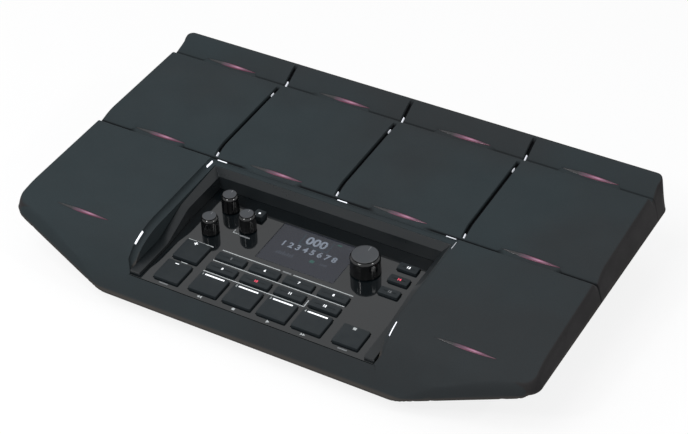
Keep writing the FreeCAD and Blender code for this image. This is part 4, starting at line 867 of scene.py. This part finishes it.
# Fold the open borders of the skin downward: rim underside, recess walls and lens openings
def addSkinDepth(shape, shadeLayer, wallShade, lipHighlights):
    border = [edge for edge in shape.edges if len(edge.link_faces) == 1]
    groups = {"rim": [], "recess": [], "lens": []}
    for edge in border:
        middle = (edge.verts[0].co + edge.verts[1].co) / 2
        if insideLeaf(middle) or lensOffset(middle.x, middle.y) < 0.05:
            groups["lens"].append(edge)
        elif abs(inwardDistance(recessEdge, middle.x, middle.y)) < 0.4:
            groups["recess"].append(edge)
        else:
            groups["rim"].append(edge)

    # Extrude border edges once and set the new points with a rule
    def fold(edges, rule):
        made = bmesh.ops.extrude_edge_only(shape, edges=edges)["geom"]
        fresh = [item for item in made if isinstance(item, bmesh.types.BMVert)]
        for vertex in fresh:
            rule(vertex)
        return [item for item in made if isinstance(item, bmesh.types.BMEdge)
                and len(item.link_faces) == 1 and all(end in fresh for end in item.verts)]

    def inwardStep(vertex, amount):
        away = Vector((vertex.co.x, vertex.co.y))
        step = 0.5
        right, left = [inwardDistance(deckEdge, away.x + side, away.y) for side in (step, -step)]
        back, front = [inwardDistance(deckEdge, away.x, away.y + side) for side in (step, -step)]
        gradient = Vector((right - left, back - front))
        gradient.normalize()
        vertex.co.x += gradient.x * amount
        vertex.co.y += gradient.y * amount

    def chamfer(vertex):
        inwardStep(vertex, rimFold["chamfer"] * rimFold["chamferShare"])
        vertex.co.z = underside(vertex.co.y)

    def under(vertex):
        inwardStep(vertex, rimFold["thickness"])
        vertex.co.z = underside(vertex.co.y)

    def upward(vertex):
        room = surfaceLevel(vertex.co.x, vertex.co.y)[0] - vertex.co.z
        vertex.co.z += min(rimFold["inside"], room * rimFold["roomShare"])

    # The rim edge and its folds take the painted lip highlight and the painted wall shade
    for vertex in {end for edge in groups["rim"] for end in edge.verts}:
        vertex.co.z = underside(vertex.co.y) + rimFold["chamfer"]
        vertex[lipHighlights] = 1.0
        vertex[wallShade] = 1.0
    loop = fold(groups["rim"], chamfer)
    loop = fold(loop, under)
    fold(loop, upward)

    wallFoot = [panelToDeck(v, w) + (0.0,) for v, w in recess["wallFoot"]]

    def downRecess(vertex):
        vertex.co.z = min(softLine(wallFoot, vertex.co.y), vertex.co.z - recess["lipDepth"])

    fold(groups["recess"], downRecess)

    def downLens(vertex):
        vertex.co.z -= lenses["depth"]
        # The walls of the lens openings take the full painted shade
        vertex[shadeLayer] = 1.0

    fold(groups["lens"], downLens)


# Leaf-shaped light guides, each with a low crown that follows the pad surface
def makeLenses():
    shape = bmesh.new()
    rims = shape.verts.layers.float.new("rim")
    rings = lenses["rings"]
    inner, outer = lenses["squeeze"]
    outline = leafOutline(0.0, 0.0, 0.0)
    for centreX, centreY in leafCentres:
        loops = []
        for share in rings:
            loop = []
            for x, y in outline:
                level = profileLevel(centreY + y * share) - lenses["sink"]
                level += lenses["crown"] * (1 - share ** 3)
                loop.append((centreX + x * (inner + outer * share),
                             centreY + y * max(share, lenses["leastRing"]), level))
            loops.append(loop)
        low = [(x, y, z - lenses["depth"]) for x, y, z in loops[-1]]
        madeRings = loopSkin(shape, loops + [low])
        for share, ring in zip(rings + (1.0,), madeRings):
            for vertex in ring:
                vertex[rims] = smooth(*lenses["rimBlend"], share)
    mesh = finishMesh(shape, "lensLights", deck, 60.0)
    newPiece("lensLights", mesh, [lensPink], "root", ("pad_lights",))


bars = {"width": 0.95, "height": 1.6, "tickSink": 0.9, "ends": ((0.0, 0.55), (0.12, 0.9), (0.4, 1.0)),
        "section": ((-0.5, -1.0), (0.5, -1.0), (0.5, -0.2), (0.32, 0.0), (-0.32, 0.0), (-0.5, -0.2)),
        "slotTicks": ((108.6, 113.2, 0.55), (86.4, 90.4, 0.3), (1.0, 4.8, 0.5)),
        "crossY": -2.7, "crossRise": 0.55,
        "crossBars": ((-114.6, -113.4, 0.3), (-106.1, -97.6, 1.0), (3.5, 12.0, 1.0), (97.6, 106.1, 0.4)),
        "coveBar": {"x": 108.5, "y": (-6.8, -15.0), "drop": 2.7, "glow": (1.0, 0.12)},
        "arc": {"x": 109.6, "y": (-104.0, -106.8, -109.4, -112.0, -115.0), "rise": 0.05, "width": 1.0,
                "glow": (1.0, 1.0)}}


# Light bar along deck points, narrower at both ends
def addBar(shape, glows, points, width, height, glow):
    points = [Vector(point) for point in points]
    first = (points[1] - points[0]).normalized()
    last = (points[-1] - points[-2]).normalized()
    stations = [(points[0] + first * reach * width, share) for reach, share in bars["ends"]]
    stations += [(point, 1.0) for point in points[1:-1]]
    stations += [(points[-1] - last * reach * width, share) for reach, share in reversed(bars["ends"])]
    loops = []
    for number, (centre, share) in enumerate(stations):
        before = stations[max(number - 1, 0)][0]
        after = stations[min(number + 1, len(stations) - 1)][0]
        along = (after - before).normalized()
        across = along.cross(Vector((0, 0, 1))).normalized()
        up = across.cross(along)
        loops.append([centre + across * (x * width * share) + up * (y * height)
                      for x, y in bars["section"]])
    for ring in loopSkin(shape, loops):
        for vertex in ring:
            vertex[glows] = glow


# White light bars at the corners where pads meet, as one trim piece
def makeBars():
    shape = bmesh.new()
    glows = shape.verts.layers.float.new("glow")
    look = bars
    width, height = look["width"], look["height"]
    for place in slots["places"]:
        for low, high, glow in look["slotTicks"]:
            ends = [(place, y, profileLevel(y) - look["tickSink"]) for y in (low, high)]
            addBar(shape, glows, ends, width, height, glow)
    level = profileLevel(look["crossY"]) + look["crossRise"]
    for low, high, glow in look["crossBars"]:
        ends = [(x, look["crossY"], level) for x in (low, high)]
        addBar(shape, glows, ends, width, height, glow)
    cove, arc = look["coveBar"], look["arc"]
    for number, side in enumerate((-1, 1)):
        ends = [(side * cove["x"], y, profileLevel(recess["padY"]) - cove["drop"]) for y in cove["y"]]
        addBar(shape, glows, ends, width, height, cove["glow"][number])
        bend = [(side * arc["x"], y, profileLevel(y) + arc["rise"]) for y in arc["y"]]
        addBar(shape, glows, bend, arc["width"], height, arc["glow"][number])
    mesh = finishMesh(shape, "cornerBars", deck, 60.0)
    newPiece("cornerBars", mesh, [tickWhite], "root", ("corner_lights",))


print("skin and lights")
makeSkin()
makeLenses()
makeBars()


# Bezel in the panel frame: its rim and the top of its wall as rows of place, value and easing
bezel = {"halfWidth": 105.1, "backY": -8.3, "seat": 0.05, "rimBack": 69.6, "wallBack": 65.7, "edge": 0.2,
         "sharp": 30.0, "backLean": (0.05, 0.74),
         "rimX": ((-60.0, 104.3, 0.0), (-12.8, 104.3, 3.0), (20.2, 104.6, 3.0), (80.0, 104.6, 0.0)),
         "rimLevel": ((-60.0, 3.3, 0.0), (-12.8, 3.3, 3.0), (20.2, 14.9, 3.0), (80.0, 18.65, 0.0)),
         "wallX": ((-60.0, 96.8, 0.0), (-12.8, 96.8, 3.0), (20.2, 99.0, 3.0), (80.0, 99.0, 0.0)),
         "wallLevel": ((-60.0, 3.0, 0.0), (-12.8, 3.0, 3.0), (20.2, 12.0, 3.0), (80.0, 12.0, 0.0)),
         "stations": (-51.8, -16.0, -14.4, -12.8, -11.2, -9.6, 2.0, 17.0, 18.6, 20.2, 21.8, 23.4, 58.0)}


# Trim that lines the recess: a narrow rim, a sloping flange and an upright wall down to the panel
def makeBezel():
    look = bezel
    shape = bmesh.new()

    def section(side, rimV, wallV, outerLow, outerHigh):
        rimLevel = softLine(look["rimLevel"], rimV)
        rimX, wallX = softLine(look["rimX"], rimV), softLine(look["wallX"], wallV)
        points = [(look["halfWidth"], outerLow, look["seat"]), (look["halfWidth"], outerHigh, rimLevel),
                  (rimX, rimV, rimLevel), (wallX, wallV, softLine(look["wallLevel"], wallV)),
                  (wallX, wallV, look["seat"])]
        return [(side * x, v, w) for x, v, w in points]

    right = [section(1, v, v, v, v) for v in look["stations"]]
    left = [section(-1, v, v, v, v) for v in reversed(look["stations"])]
    originY = panelToDeck(0.0, 0.0)[0]
    backLow, backHigh = [look["backY"] - originY + lean for lean in look["backLean"]]
    corners = [section(side, look["rimBack"], look["wallBack"], backLow, backHigh) for side in (1, -1)]
    loopSkin(shape, right + corners + left)
    mesh = finishMesh(shape, "bezel", panel, look["sharp"])
    piece = newPiece("bezel", mesh, [bezelBlack], "root", ("panel_bezel",))
    soften(piece, look["edge"], 2, look["sharp"])


print("bezel and panel")
makeBezel()
softCopy("control_panel", "controlPanel", panelGloss, 0.2)


# Measures of the keys in the panel frame
keys = {"pitch": 29.8, "first": -44.2, "proud": 2.2, "foot": -3.6, "corner": 1.1, "edge": 0.55, "dish": 0.18,
        "flange": 0.9, "flangeTop": -2.8, "flangeCorner": 0.8, "leastCorner": 0.3,
        "edgeSteps": 4, "dishRings": (0.2, 0.4, 0.6, 0.75), "sharp": 45.0,
        "lamp": {"from": -8.1, "to": 8.8, "v": 8.0, "width": 1.3},
        "figure": {"at": (-10.0, 7.9), "size": 2.9}, "legendSize": 3.2,
        "print": {"sink": 0.07, "over": 0.06, "depth": 0.1},
        "sign": {"at": (-1.5, 8.2), "half": 1.2, "width": 0.7},
        "stop": {"at": (-1.0, 7.5), "size": 2.6, "corner": 0.3},
        "ring": {"at": (0.2, 0.1), "outer": 0.95, "inner": 0.45}}


def keyTable():
    table = {}

    def add(node, at, size, **marks):
        table[node] = {"at": at, "width": size[0], "depth": size[1], **marks}

    wide, slim, side, large = (24.8, 20.2), (24.8, 8.2), (16.8, 7.6), (21.8, 21.8)
    for number in range(4):
        u = keys["first"] + number * keys["pitch"]
        add(f"number_button_{number + 1}", (u, -37.0), wide, figure=str(number + 1), lamp=True)
        add(f"upper_slim_button_{number + 1}", (u, -5.0), slim, figure=str(number + 5),
            ink="dim" if number == 0 else "lit")
        add(f"lower_slim_button_{number + 1}", (u, -18.1), slim, figure=str(number + 9),
            ink="red" if number == 1 else "lit")
    for number, (v, ink) in enumerate(((47.9, "lit"), (32.8, "red"), (17.6, "dim"))):
        add(f"side_button_{number + 1}", (80.2, v), side, figure=str(number + 13), ink=ink)
    add("kit_minus_button", (-76.3, -37.0), large, sign="minus")
    add("kit_plus_button", (-76.3, -10.6), large, sign="plus")
    add("stop_sound_button", (78.0, -37.0), (21.8, 20.2), sign="stop")
    add("home_button", (-52.3, 49.6), (8.6, 8.6), sign="ring", proud=4.0)
    return table


def ringOutline(radius, count=28):
    return [(radius * math.cos(math.tau * step / count), radius * math.sin(math.tau * step / count))
            for step in range(count)]


# Flat printed ring
def addRing(shape, x, y, outer, inner, level, thickness=0.05, material=0, count=28):
    top = level + thickness
    loops = [[(x + a, y + b, height) for a, b in ringOutline(radius, count)]
             for radius, height in ((outer, level), (outer, top), (inner, top), (inner, level))]
    rings = loopSkin(shape, loops, capLow=False, capHigh=False, material=material)
    for number in range(count):
        after = (number + 1) % count
        face = shape.faces.new((rings[3][number], rings[3][after], rings[0][after], rings[0][number]))
        face.material_index = material


# One key: a flange under the panel, straight sides, a soft edge and a slightly dished top
def makeKey(node, entry):
    shape = bmesh.new()
    width, depth = entry["width"], entry["depth"]
    proud = entry.get("proud", keys["proud"])
    edge = keys["edge"]
    loops = []

    def level(grow, height, radius):
        outline = roundedOutline(width + 2 * grow, depth + 2 * grow, max(radius, keys["leastCorner"]), 4)
        loops.append([(x, y, height) for x, y in outline])

    level(keys["flange"], keys["foot"], keys["flangeCorner"])
    level(keys["flange"], keys["flangeTop"], keys["flangeCorner"])
    level(0.0, keys["flangeTop"], keys["corner"])
    level(0.0, proud - edge, keys["corner"])
    for step in range(1, keys["edgeSteps"] + 1):
        angle = math.radians(90 * step / keys["edgeSteps"])
        level(edge * (math.cos(angle) - 1), proud - edge + edge * math.sin(angle), keys["corner"])
    inner = min(width, depth) / 2
    for share in keys["dishRings"]:
        level(-edge - (inner - edge) * share, proud - keys["dish"] * share, keys["corner"])
    loopSkin(shape, loops)
    addKeyMarks(shape, entry, proud)
    u, v = entry["at"]
    mesh = finishMesh(shape, node.replace("_button", "Key"), panel @ Matrix.Translation((u, v, 0)),
                      keys["sharp"])
    newPiece(node.replace("_button", "_cap"), mesh, [keyRubber, keyLight, inkWhite, keyRed, inkDim],
             node.replace("_button", "_key"), (node,))


# Plain figure, lamp or sign on top of a key
def addKeyMarks(shape, entry, proud):
    look = keys["print"]
    level, over, thickness = proud - look["sink"], proud - look["over"], look["depth"]
    if entry.get("lamp"):
        lamp, figure = keys["lamp"], keys["figure"]
        half = lamp["width"] / 2
        ends = [(lamp["from"] + half, lamp["v"]), (lamp["to"] - half, lamp["v"])]
        addRibbon(shape, ends, lamp["width"], level, thickness, 1)
        addText(shape, entry["figure"], *figure["at"], figure["size"], over, 2)
    elif "figure" in entry:
        inks = {"lit": 1, "red": 3, "dim": 4}
        top = proud - keys["dish"] * keys["dishRings"][-1]
        addText(shape, entry["figure"], 0.0, 0.0, keys["legendSize"], top, inks[entry["ink"]])
    elif entry["sign"] in ("minus", "plus"):
        sign = keys["sign"]
        x, y = sign["at"]
        half, width = sign["half"], sign["width"]
        addRibbon(shape, [(x - half, y), (x + half, y)], width, level, thickness, 1)
        if entry["sign"] == "plus":
            addRibbon(shape, [(x, y - half), (x, y + half)], width, over, thickness, 1)
    elif entry["sign"] == "stop":
        stop = keys["stop"]
        square = roundedOutline(stop["size"], stop["size"], stop["corner"])
        addOutline(shape, [(stop["at"][0] + a, stop["at"][1] + b) for a, b in square], level, thickness, 2)
    else:
        ring = keys["ring"]
        addRing(shape, *ring["at"], ring["outer"], ring["inner"], proud - thickness, thickness, 1)


print("keys")
for keyNode, keyEntry in keyTable().items():
    makeKey(keyNode, keyEntry)


# Knobs: upright sides with shallow grips, a rounded shoulder, a small step and a flat satin top
knobs = {"lift": 0.8, "ribs": 12, "ribDepth": 0.22, "segments": 96, "bore": 3.02, "boreTop": 12.0,
         "boreTip": 0.4, "step": 1.0, "chamfer": 1.1, "bends": 5, "topInset": 0.14, "sharp": 40.0,
         "footRows": ((0.0, -0.3, 0.0), (0.3, 0.0, 0.0), (0.7, 0.0, 0.0), (1.3, 0.0, 1.0)),
         "topRows": (("neck", 0.1, -0.06), ("step", -0.08, 0.1), ("step", 0.0, 0.0), ("step", 0.06, -0.02),
                     ("top", -0.22, -0.04), ("top", -0.06, -0.12), ("top", 0.0, -0.3)),
         "mark": {"from": 0.5, "short": 0.9, "width": 0.5, "sink": 0.02, "depth": 0.05},
         "small": {"foot": 7.1, "waist": 6.95, "shoulder": 9.8, "neck": 6.6, "top": 5.6, "height": 15.0},
         "dial": {"foot": 12.1, "waist": 11.95, "shoulder": 11.2, "neck": 11.6, "top": 10.5, "height": 16.0},
         "places": {"volume_knob_1": (-77.3, 17.4), "volume_knob_2": (-77.3, 47.0),
                    "volume_knob_3": (-52.9, 32.9)},
         "dialAt": (52.0, 31.8)}


# Rows of height, radius and share of the grips, from the foot of a knob to its top edge
def knobRows(form):
    height, foot, waist, neck, top = [form[key] for key in ("height", "foot", "waist", "neck", "top")]
    shoulder = form["shoulder"]
    stepLevel = height - knobs["step"]
    neckLevel = stepLevel - knobs["chamfer"]
    rows = [(z, foot + grow, grip) for z, grow, grip in knobs["footRows"]] + [(shoulder, waist, 1.0)]
    for step in range(1, knobs["bends"] + 1):
        share = step / knobs["bends"]
        bend = math.sin(math.radians(90 * share))
        rows.append((shoulder + (neckLevel - shoulder) * bend,
                     waist + (neck - waist) * (1 - math.cos(math.radians(90 * share))), 1 - share))
    levels = {"neck": (neckLevel, neck), "step": (stepLevel, top), "top": (height, top)}
    for name, rise, grow in knobs["topRows"]:
        level, radius = levels[name]
        rows.append((level + rise, radius + grow, 0.0))
    return rows


def makeKnob(node, u, v, form, body):
    count = knobs["segments"]
    shape = bmesh.new()
    loops = []
    for z, radius in ((knobs["boreTop"], knobs["boreTip"]), (knobs["boreTop"], knobs["bore"]),
                      (0.0, knobs["bore"])):
        loops.append([(x, y, z) for x, y in ringOutline(radius, count)])
    for z, radius, grip in knobRows(form):
        loop = []
        for step in range(count):
            turn = math.tau * step / count
            wave = 0.5 + 0.5 * math.cos(turn * knobs["ribs"])
            bite = knobs["ribDepth"] * grip * wave ** 3
            loop.append(((radius - bite) * math.cos(turn), (radius - bite) * math.sin(turn), z))
        loops.append(loop)
    last = loopSkin(shape, loops, capHigh=False)[-1]
    top, disc = form["top"], form["height"] - knobs["topInset"]
    for radius, z in ((top - 0.5, disc), (top * 0.8, disc - 0.02), (top * 0.4, disc - 0.03)):
        ring = [shape.verts.new((x, y, z)) for x, y in ringOutline(radius, count)]
        for number in range(count):
            after = (number + 1) % count
            face = shape.faces.new((last[number], last[after], ring[after], ring[number]))
            face.material_index = 1
        last = ring
    shape.faces.new(last).material_index = 1
    mark = knobs["mark"]
    addRibbon(shape, [(0.0, top * mark["from"]), (0.0, top - mark["short"])], mark["width"],
              disc - mark["sink"], mark["depth"], 2)
    place = panel @ Matrix.Translation((u, v, knobs["lift"]))
    mesh = finishMesh(shape, node + "Mesh", place, knobs["sharp"])
    newPiece(node + "_cap", mesh, [knobGloss, knobSatin, inkDim], body, (node,))


print("knobs")
for knobNode, (knobU, knobV) in knobs["places"].items():
    makeKnob(knobNode, knobU, knobV, knobs["small"], knobNode.replace("_knob_", "_pot_"))
makeKnob("value_dial", *knobs["dialAt"], knobs["dial"], "dial")


# Display: module under the glass, with figures and bars only
display = {"level": -2.64, "ink": 0.03, "line": 0.5,
           "number": {"text": "000", "at": (1.7, 45.0), "box": (24.6, 11.5), "size": 12.0},
           "row": {"text": "1 2 3 4 5 6 7 8", "at": (1.0, 34.0), "size": 8.2},
           "bars": {"at": (-21.0, 22.0), "pitch": 1.9, "width": 1.1,
                    "heights": (1.6, 2.8, 2.2, 3.4, 1.2, 2.6, 2.0, 3.0)},
           "badges": ((18.9, 51.7), (8.9, 25.1)), "badgeForm": (3.6, 3.0, 0.5),
           "small": (("120", 26.5, 51.7), ("12:00", 18.5, 25.1)), "smallSize": 3.0}


# Everything that glows behind the cover glass
def makeScreen():
    shape = bmesh.new()
    level, ink = display["level"], display["ink"]
    number, row, strip = display["number"], display["row"], display["bars"]
    x, y = number["at"]
    addText(shape, number["text"], x, y, number["size"], level, 0)
    width, depth = number["box"]
    left, right, low, high = x - width / 2, x + width / 2, y - depth / 2, y + depth / 2
    addRibbon(shape, [(left, high), (left, low), (right, low), (right, high)], display["line"], level, ink, 1)
    addText(shape, row["text"], *row["at"], row["size"], level, 0)
    for step, tall in enumerate(strip["heights"]):
        place, foot = strip["at"][0] + step * strip["pitch"], strip["at"][1]
        addRibbon(shape, [(place, foot), (place, foot + tall)], strip["width"], level, ink, 3)
    for x, y in display["badges"]:
        outline = [(x + a, y + b) for a, b in roundedOutline(*display["badgeForm"])]
        addOutline(shape, outline, level, ink, 2)
    for figures, x, y in display["small"]:
        addText(shape, figures, x, y, display["smallSize"], level, 3)
    mesh = finishMesh(shape, "screenPicture", panel, 30.0)
    newPiece("screenPicture", mesh, [screenWhite, screenTeal, screenGreen, screenDim], "root")


print("display")
screenDim = lightMaterial("screenDim", (0.34, 0.42, 0.52, 1), 1.8)
softCopy("display_window", "coverGlass", coverGlass, 0.25)
softCopy("display_module", "displayModule", displayBlack, 0.4)
makeScreen()


# Panel print: lines from a point to a point with width, rise and ink, then the signs
printLook = {"level": 0.02, "signsAt": -50.4, "arrow": 2.0, "playArrow": 2.6, "arrowGap": 1.0,
             "stop": (2.3, 2.3, 0.2),
             "lines": (((-56.6, 2.6), (-5.9, 2.6), 0.8, 0.0, 0), ((6.5, 2.6), (57.2, 2.6), 0.8, 0.0, 0),
                       ((-57.0, -10.4), (57.0, -10.4), 0.8, 0.0, 0),
                       ((-57.0, -24.0), (30.6, -24.0), 0.8, 0.0, 0),
                       ((30.6, -24.0), (30.6, -16.8), 0.8, 0.01, 0), ((-2.6, 2.6), (3.2, 2.6), 1.5, 0.0, 1),
                       ((-87.2, 2.2), (-80.6, 2.2), 0.8, 0.0, 0), ((-72.0, 2.2), (-65.4, 2.2), 0.8, 0.0, 0),
                       ((-77.4, -23.6), (-72.6, -23.6), 0.8, 0.0, 0),
                       ((-79.0, 2.2), (-73.6, 2.2), 1.5, 0.0, 1),
                       ((-61.0, 27.9), (-61.0, 24.3), 0.55, 0.0, 0),
                       ((-61.0, 24.3), (-55.8, 24.3), 0.55, 0.01, 0),
                       ((-53.8, 23.6), (-46.4, 23.6), 1.4, 0.0, 1),
                       ((-79.5, -50.4), (-73.1, -50.4), 1.2, 0.0, 1),
                       ((74.8, -50.4), (81.2, -50.4), 1.2, 0.0, 1))}


def makePanelPrint():
    shape = bmesh.new()
    for start, end, width, rise, ink in printLook["lines"]:
        addRibbon(shape, [start, end], width, printLook["level"] + rise, material=ink)
    addTransportSigns(shape, printLook["signsAt"], printLook["level"])
    mesh = finishMesh(shape, "panelPrint", panel, 30.0)
    newPiece("panelPrint", mesh, [inkWhite, inkDim], "root")


# Rewind, stop, play and forward signs under the four number keys
def addTransportSigns(shape, v, level):
    places = [keys["first"] + number * keys["pitch"] for number in range(4)]

    def arrow(x, size, side):
        base, tip, half = x - side * size * 0.5, x + side * size * 0.5, size * 0.6
        outline = [(base, v - half), (tip, v), (base, v + half)]
        addOutline(shape, outline if side > 0 else outline[::-1], level)

    for shift in (-printLook["arrowGap"], printLook["arrowGap"]):
        arrow(places[0] + shift, printLook["arrow"], -1)
        arrow(places[3] + shift, printLook["arrow"], 1)
    addOutline(shape, [(places[1] + x, v + y) for x, y in roundedOutline(*printLook["stop"])], level)
    arrow(places[2], printLook["playArrow"], 1)


print("panel print")
makePanelPrint()


# Case, feet and sockets, then the nodes that stay as they are
print("case and sockets")
softCopy("lower_case", "lowerCase", caseBlack, 0.7, 3, 35.0)
softCopy("rubber_feet", "rubberFeet", footBlack, 0.8, 3, 40.0)
for socketNode, socketName, socketBevel in (
        ("audio_jacks", "audioJacks", 0.35), ("data_sockets", "dataSockets", 0.2),
        ("usb_socket", "usbSocket", 0.2), ("power_inlet", "powerInlet", 0.25),
        ("power_switch", "powerSwitch", 0.25)):
    softCopy(socketNode, socketName, socketBlack, socketBevel, 2, 40.0)
softCopy("power_rocker", "powerRocker", knobGloss, 0.25, 2, 40.0, "power_tip")

plainNodes = {
    "pad_frame": frameBlack, "pad_plates": steel, "pad_foam": foamBlack, "pad_sensors": brass,
    "light_boards": boardGreen, "panel_board": boardGreen, "main_board": boardGreen, "jack_board": boardGreen,
    "pot_bodies": socketBlack, "encoder_body": socketBlack, "encoder_plunger": socketBlack,
    "panel_switches": socketBlack, "case_screws": blackSteel, "stand_inserts": brass,
    "pot_shaft_1": steel, "pot_shaft_2": steel, "pot_shaft_3": steel, "dial_shaft": steel,
}
for plainNode, plainMaterial in plainNodes.items():
    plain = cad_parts[plainNode]
    plain.data.materials.clear()
    plain.data.materials.append(plainMaterial)


# Floor, light and camera
floorLook = {"half": 6.0, "count": 24, "colour": (0.17, 0.17, 0.172, 1), "grain": 0.165, "white": 0.83}


def makeFloor():
    shape = bmesh.new()
    half, count = floorLook["half"], floorLook["count"]
    rows = [[shape.verts.new((half * (2 * a / count - 1), half * (2 * b / count - 1), 0.0))
             for a in range(count + 1)] for b in range(count + 1)]
    for b in range(count):
        for a in range(count):
            shape.faces.new((rows[b][a], rows[b][a + 1], rows[b + 1][a + 1], rows[b + 1][a]))
    mesh = bpy.data.meshes.new("floor")
    shape.to_mesh(mesh)
    shape.free()
    material = newMaterial("paleFloor", 0.9, 0.0)
    tone = mixColours(material, uneven(material, 3.0, 0.0, 1.0), floorLook["colour"],
                      grey(floorLook["grain"]))
    path = addNode(material, "LightPath")
    seen = calculate(material, "MAXIMUM", path.outputs["Is Camera Ray"], path.outputs["Is Glossy Ray"])
    seen = calculate(material, "MAXIMUM", seen, path.outputs["Is Transmission Ray"])
    seen = calculate(material, "MULTIPLY", seen, floorLook["white"])
    wire(material, colour=tone, glow=(1.0, 1.0, 1.0, 1.0), glowStrength=seen)
    mesh.materials.append(material)
    floor = newObject("floor", mesh)


lights = {"aim": (0, 0, 0.04), "sky": 0.56, "skyTint": (0.985, 0.99, 1.0, 1),
          "boxes": {"keyBox": {"at": (-0.30, -0.95, 1.4), "size": 1.0, "power": 14.0, "mirrored": False},
                    "leftLamp": {"at": (-0.36, -1.25, 1.09), "size": 0.17, "power": 4.2, "mirrored": True},
                    "rightLamp": {"at": (1.29, -0.16, 1.09), "size": 0.14, "power": 2.4, "mirrored": True}}}


# Even studio light, whose surroundings look white to the camera and in glossy and clear surfaces
def makeLights():
    world = bpy.data.worlds.new("studio")
    scene.world = world
    world.use_nodes = True
    tree = world.node_tree
    ground = tree.nodes["Background"]
    ground.inputs["Color"].default_value = lights["skyTint"]
    path = tree.nodes.new("ShaderNodeLightPath")
    seen = path.outputs["Is Camera Ray"]
    for name in ("Is Glossy Ray", "Is Transmission Ray"):
        either = tree.nodes.new("ShaderNodeMath")
        either.operation = "MAXIMUM"
        tree.links.new(seen, either.inputs[0])
        tree.links.new(path.outputs[name], either.inputs[1])
        seen = either.outputs[0]
    level = tree.nodes.new("ShaderNodeMapRange")
    tree.links.new(seen, level.inputs["Value"])
    level.inputs["To Min"].default_value = lights["sky"]
    tree.links.new(level.outputs["Result"], ground.inputs["Strength"])
    for name, box in lights["boxes"].items():
        lamp = bpy.data.lights.new(name, "AREA")
        lamp.size = box["size"]
        lamp.energy = box["power"]
        holder = newObject(name, lamp)
        holder.location = box["at"]
        aim = Vector(lights["aim"]) - Vector(box["at"])
        holder.rotation_euler = aim.to_track_quat("-Z", "Y").to_euler()
        holder.visible_glossy = box["mirrored"]


view = {"at": (577.17, -1030.93, 878.74), "right": (0.87056, 0.49188, 0.01362),
        "up": (-0.29344, 0.49671, 0.81681), "ahead": (-0.39501, 0.71508, -0.57676),
        "lens": 97.03, "shift": (0.00237, 0.0016), "sensor": 36.0, "near": 0.05, "far": 50.0}


def makeCamera():
    camera = bpy.data.cameras.new("photoCamera")
    camera.lens = view["lens"]
    camera.sensor_width = view["sensor"]
    camera.shift_x, camera.shift_y = view["shift"]
    camera.clip_start = view["near"]
    camera.clip_end = view["far"]
    holder = newObject("photoCamera", camera)
    right, up = Vector(view["right"]), Vector(view["up"])
    back = -Vector(view["ahead"])
    turn = Matrix((right, up, back)).transposed().to_4x4()
    holder.matrix_world = Matrix.Translation(Vector(view["at"]) * mm) @ turn
    scene.camera = holder


print("floor, lights and camera")
makeFloor()
makeLights()
makeCamera()
scene.view_settings.view_transform = "Standard"
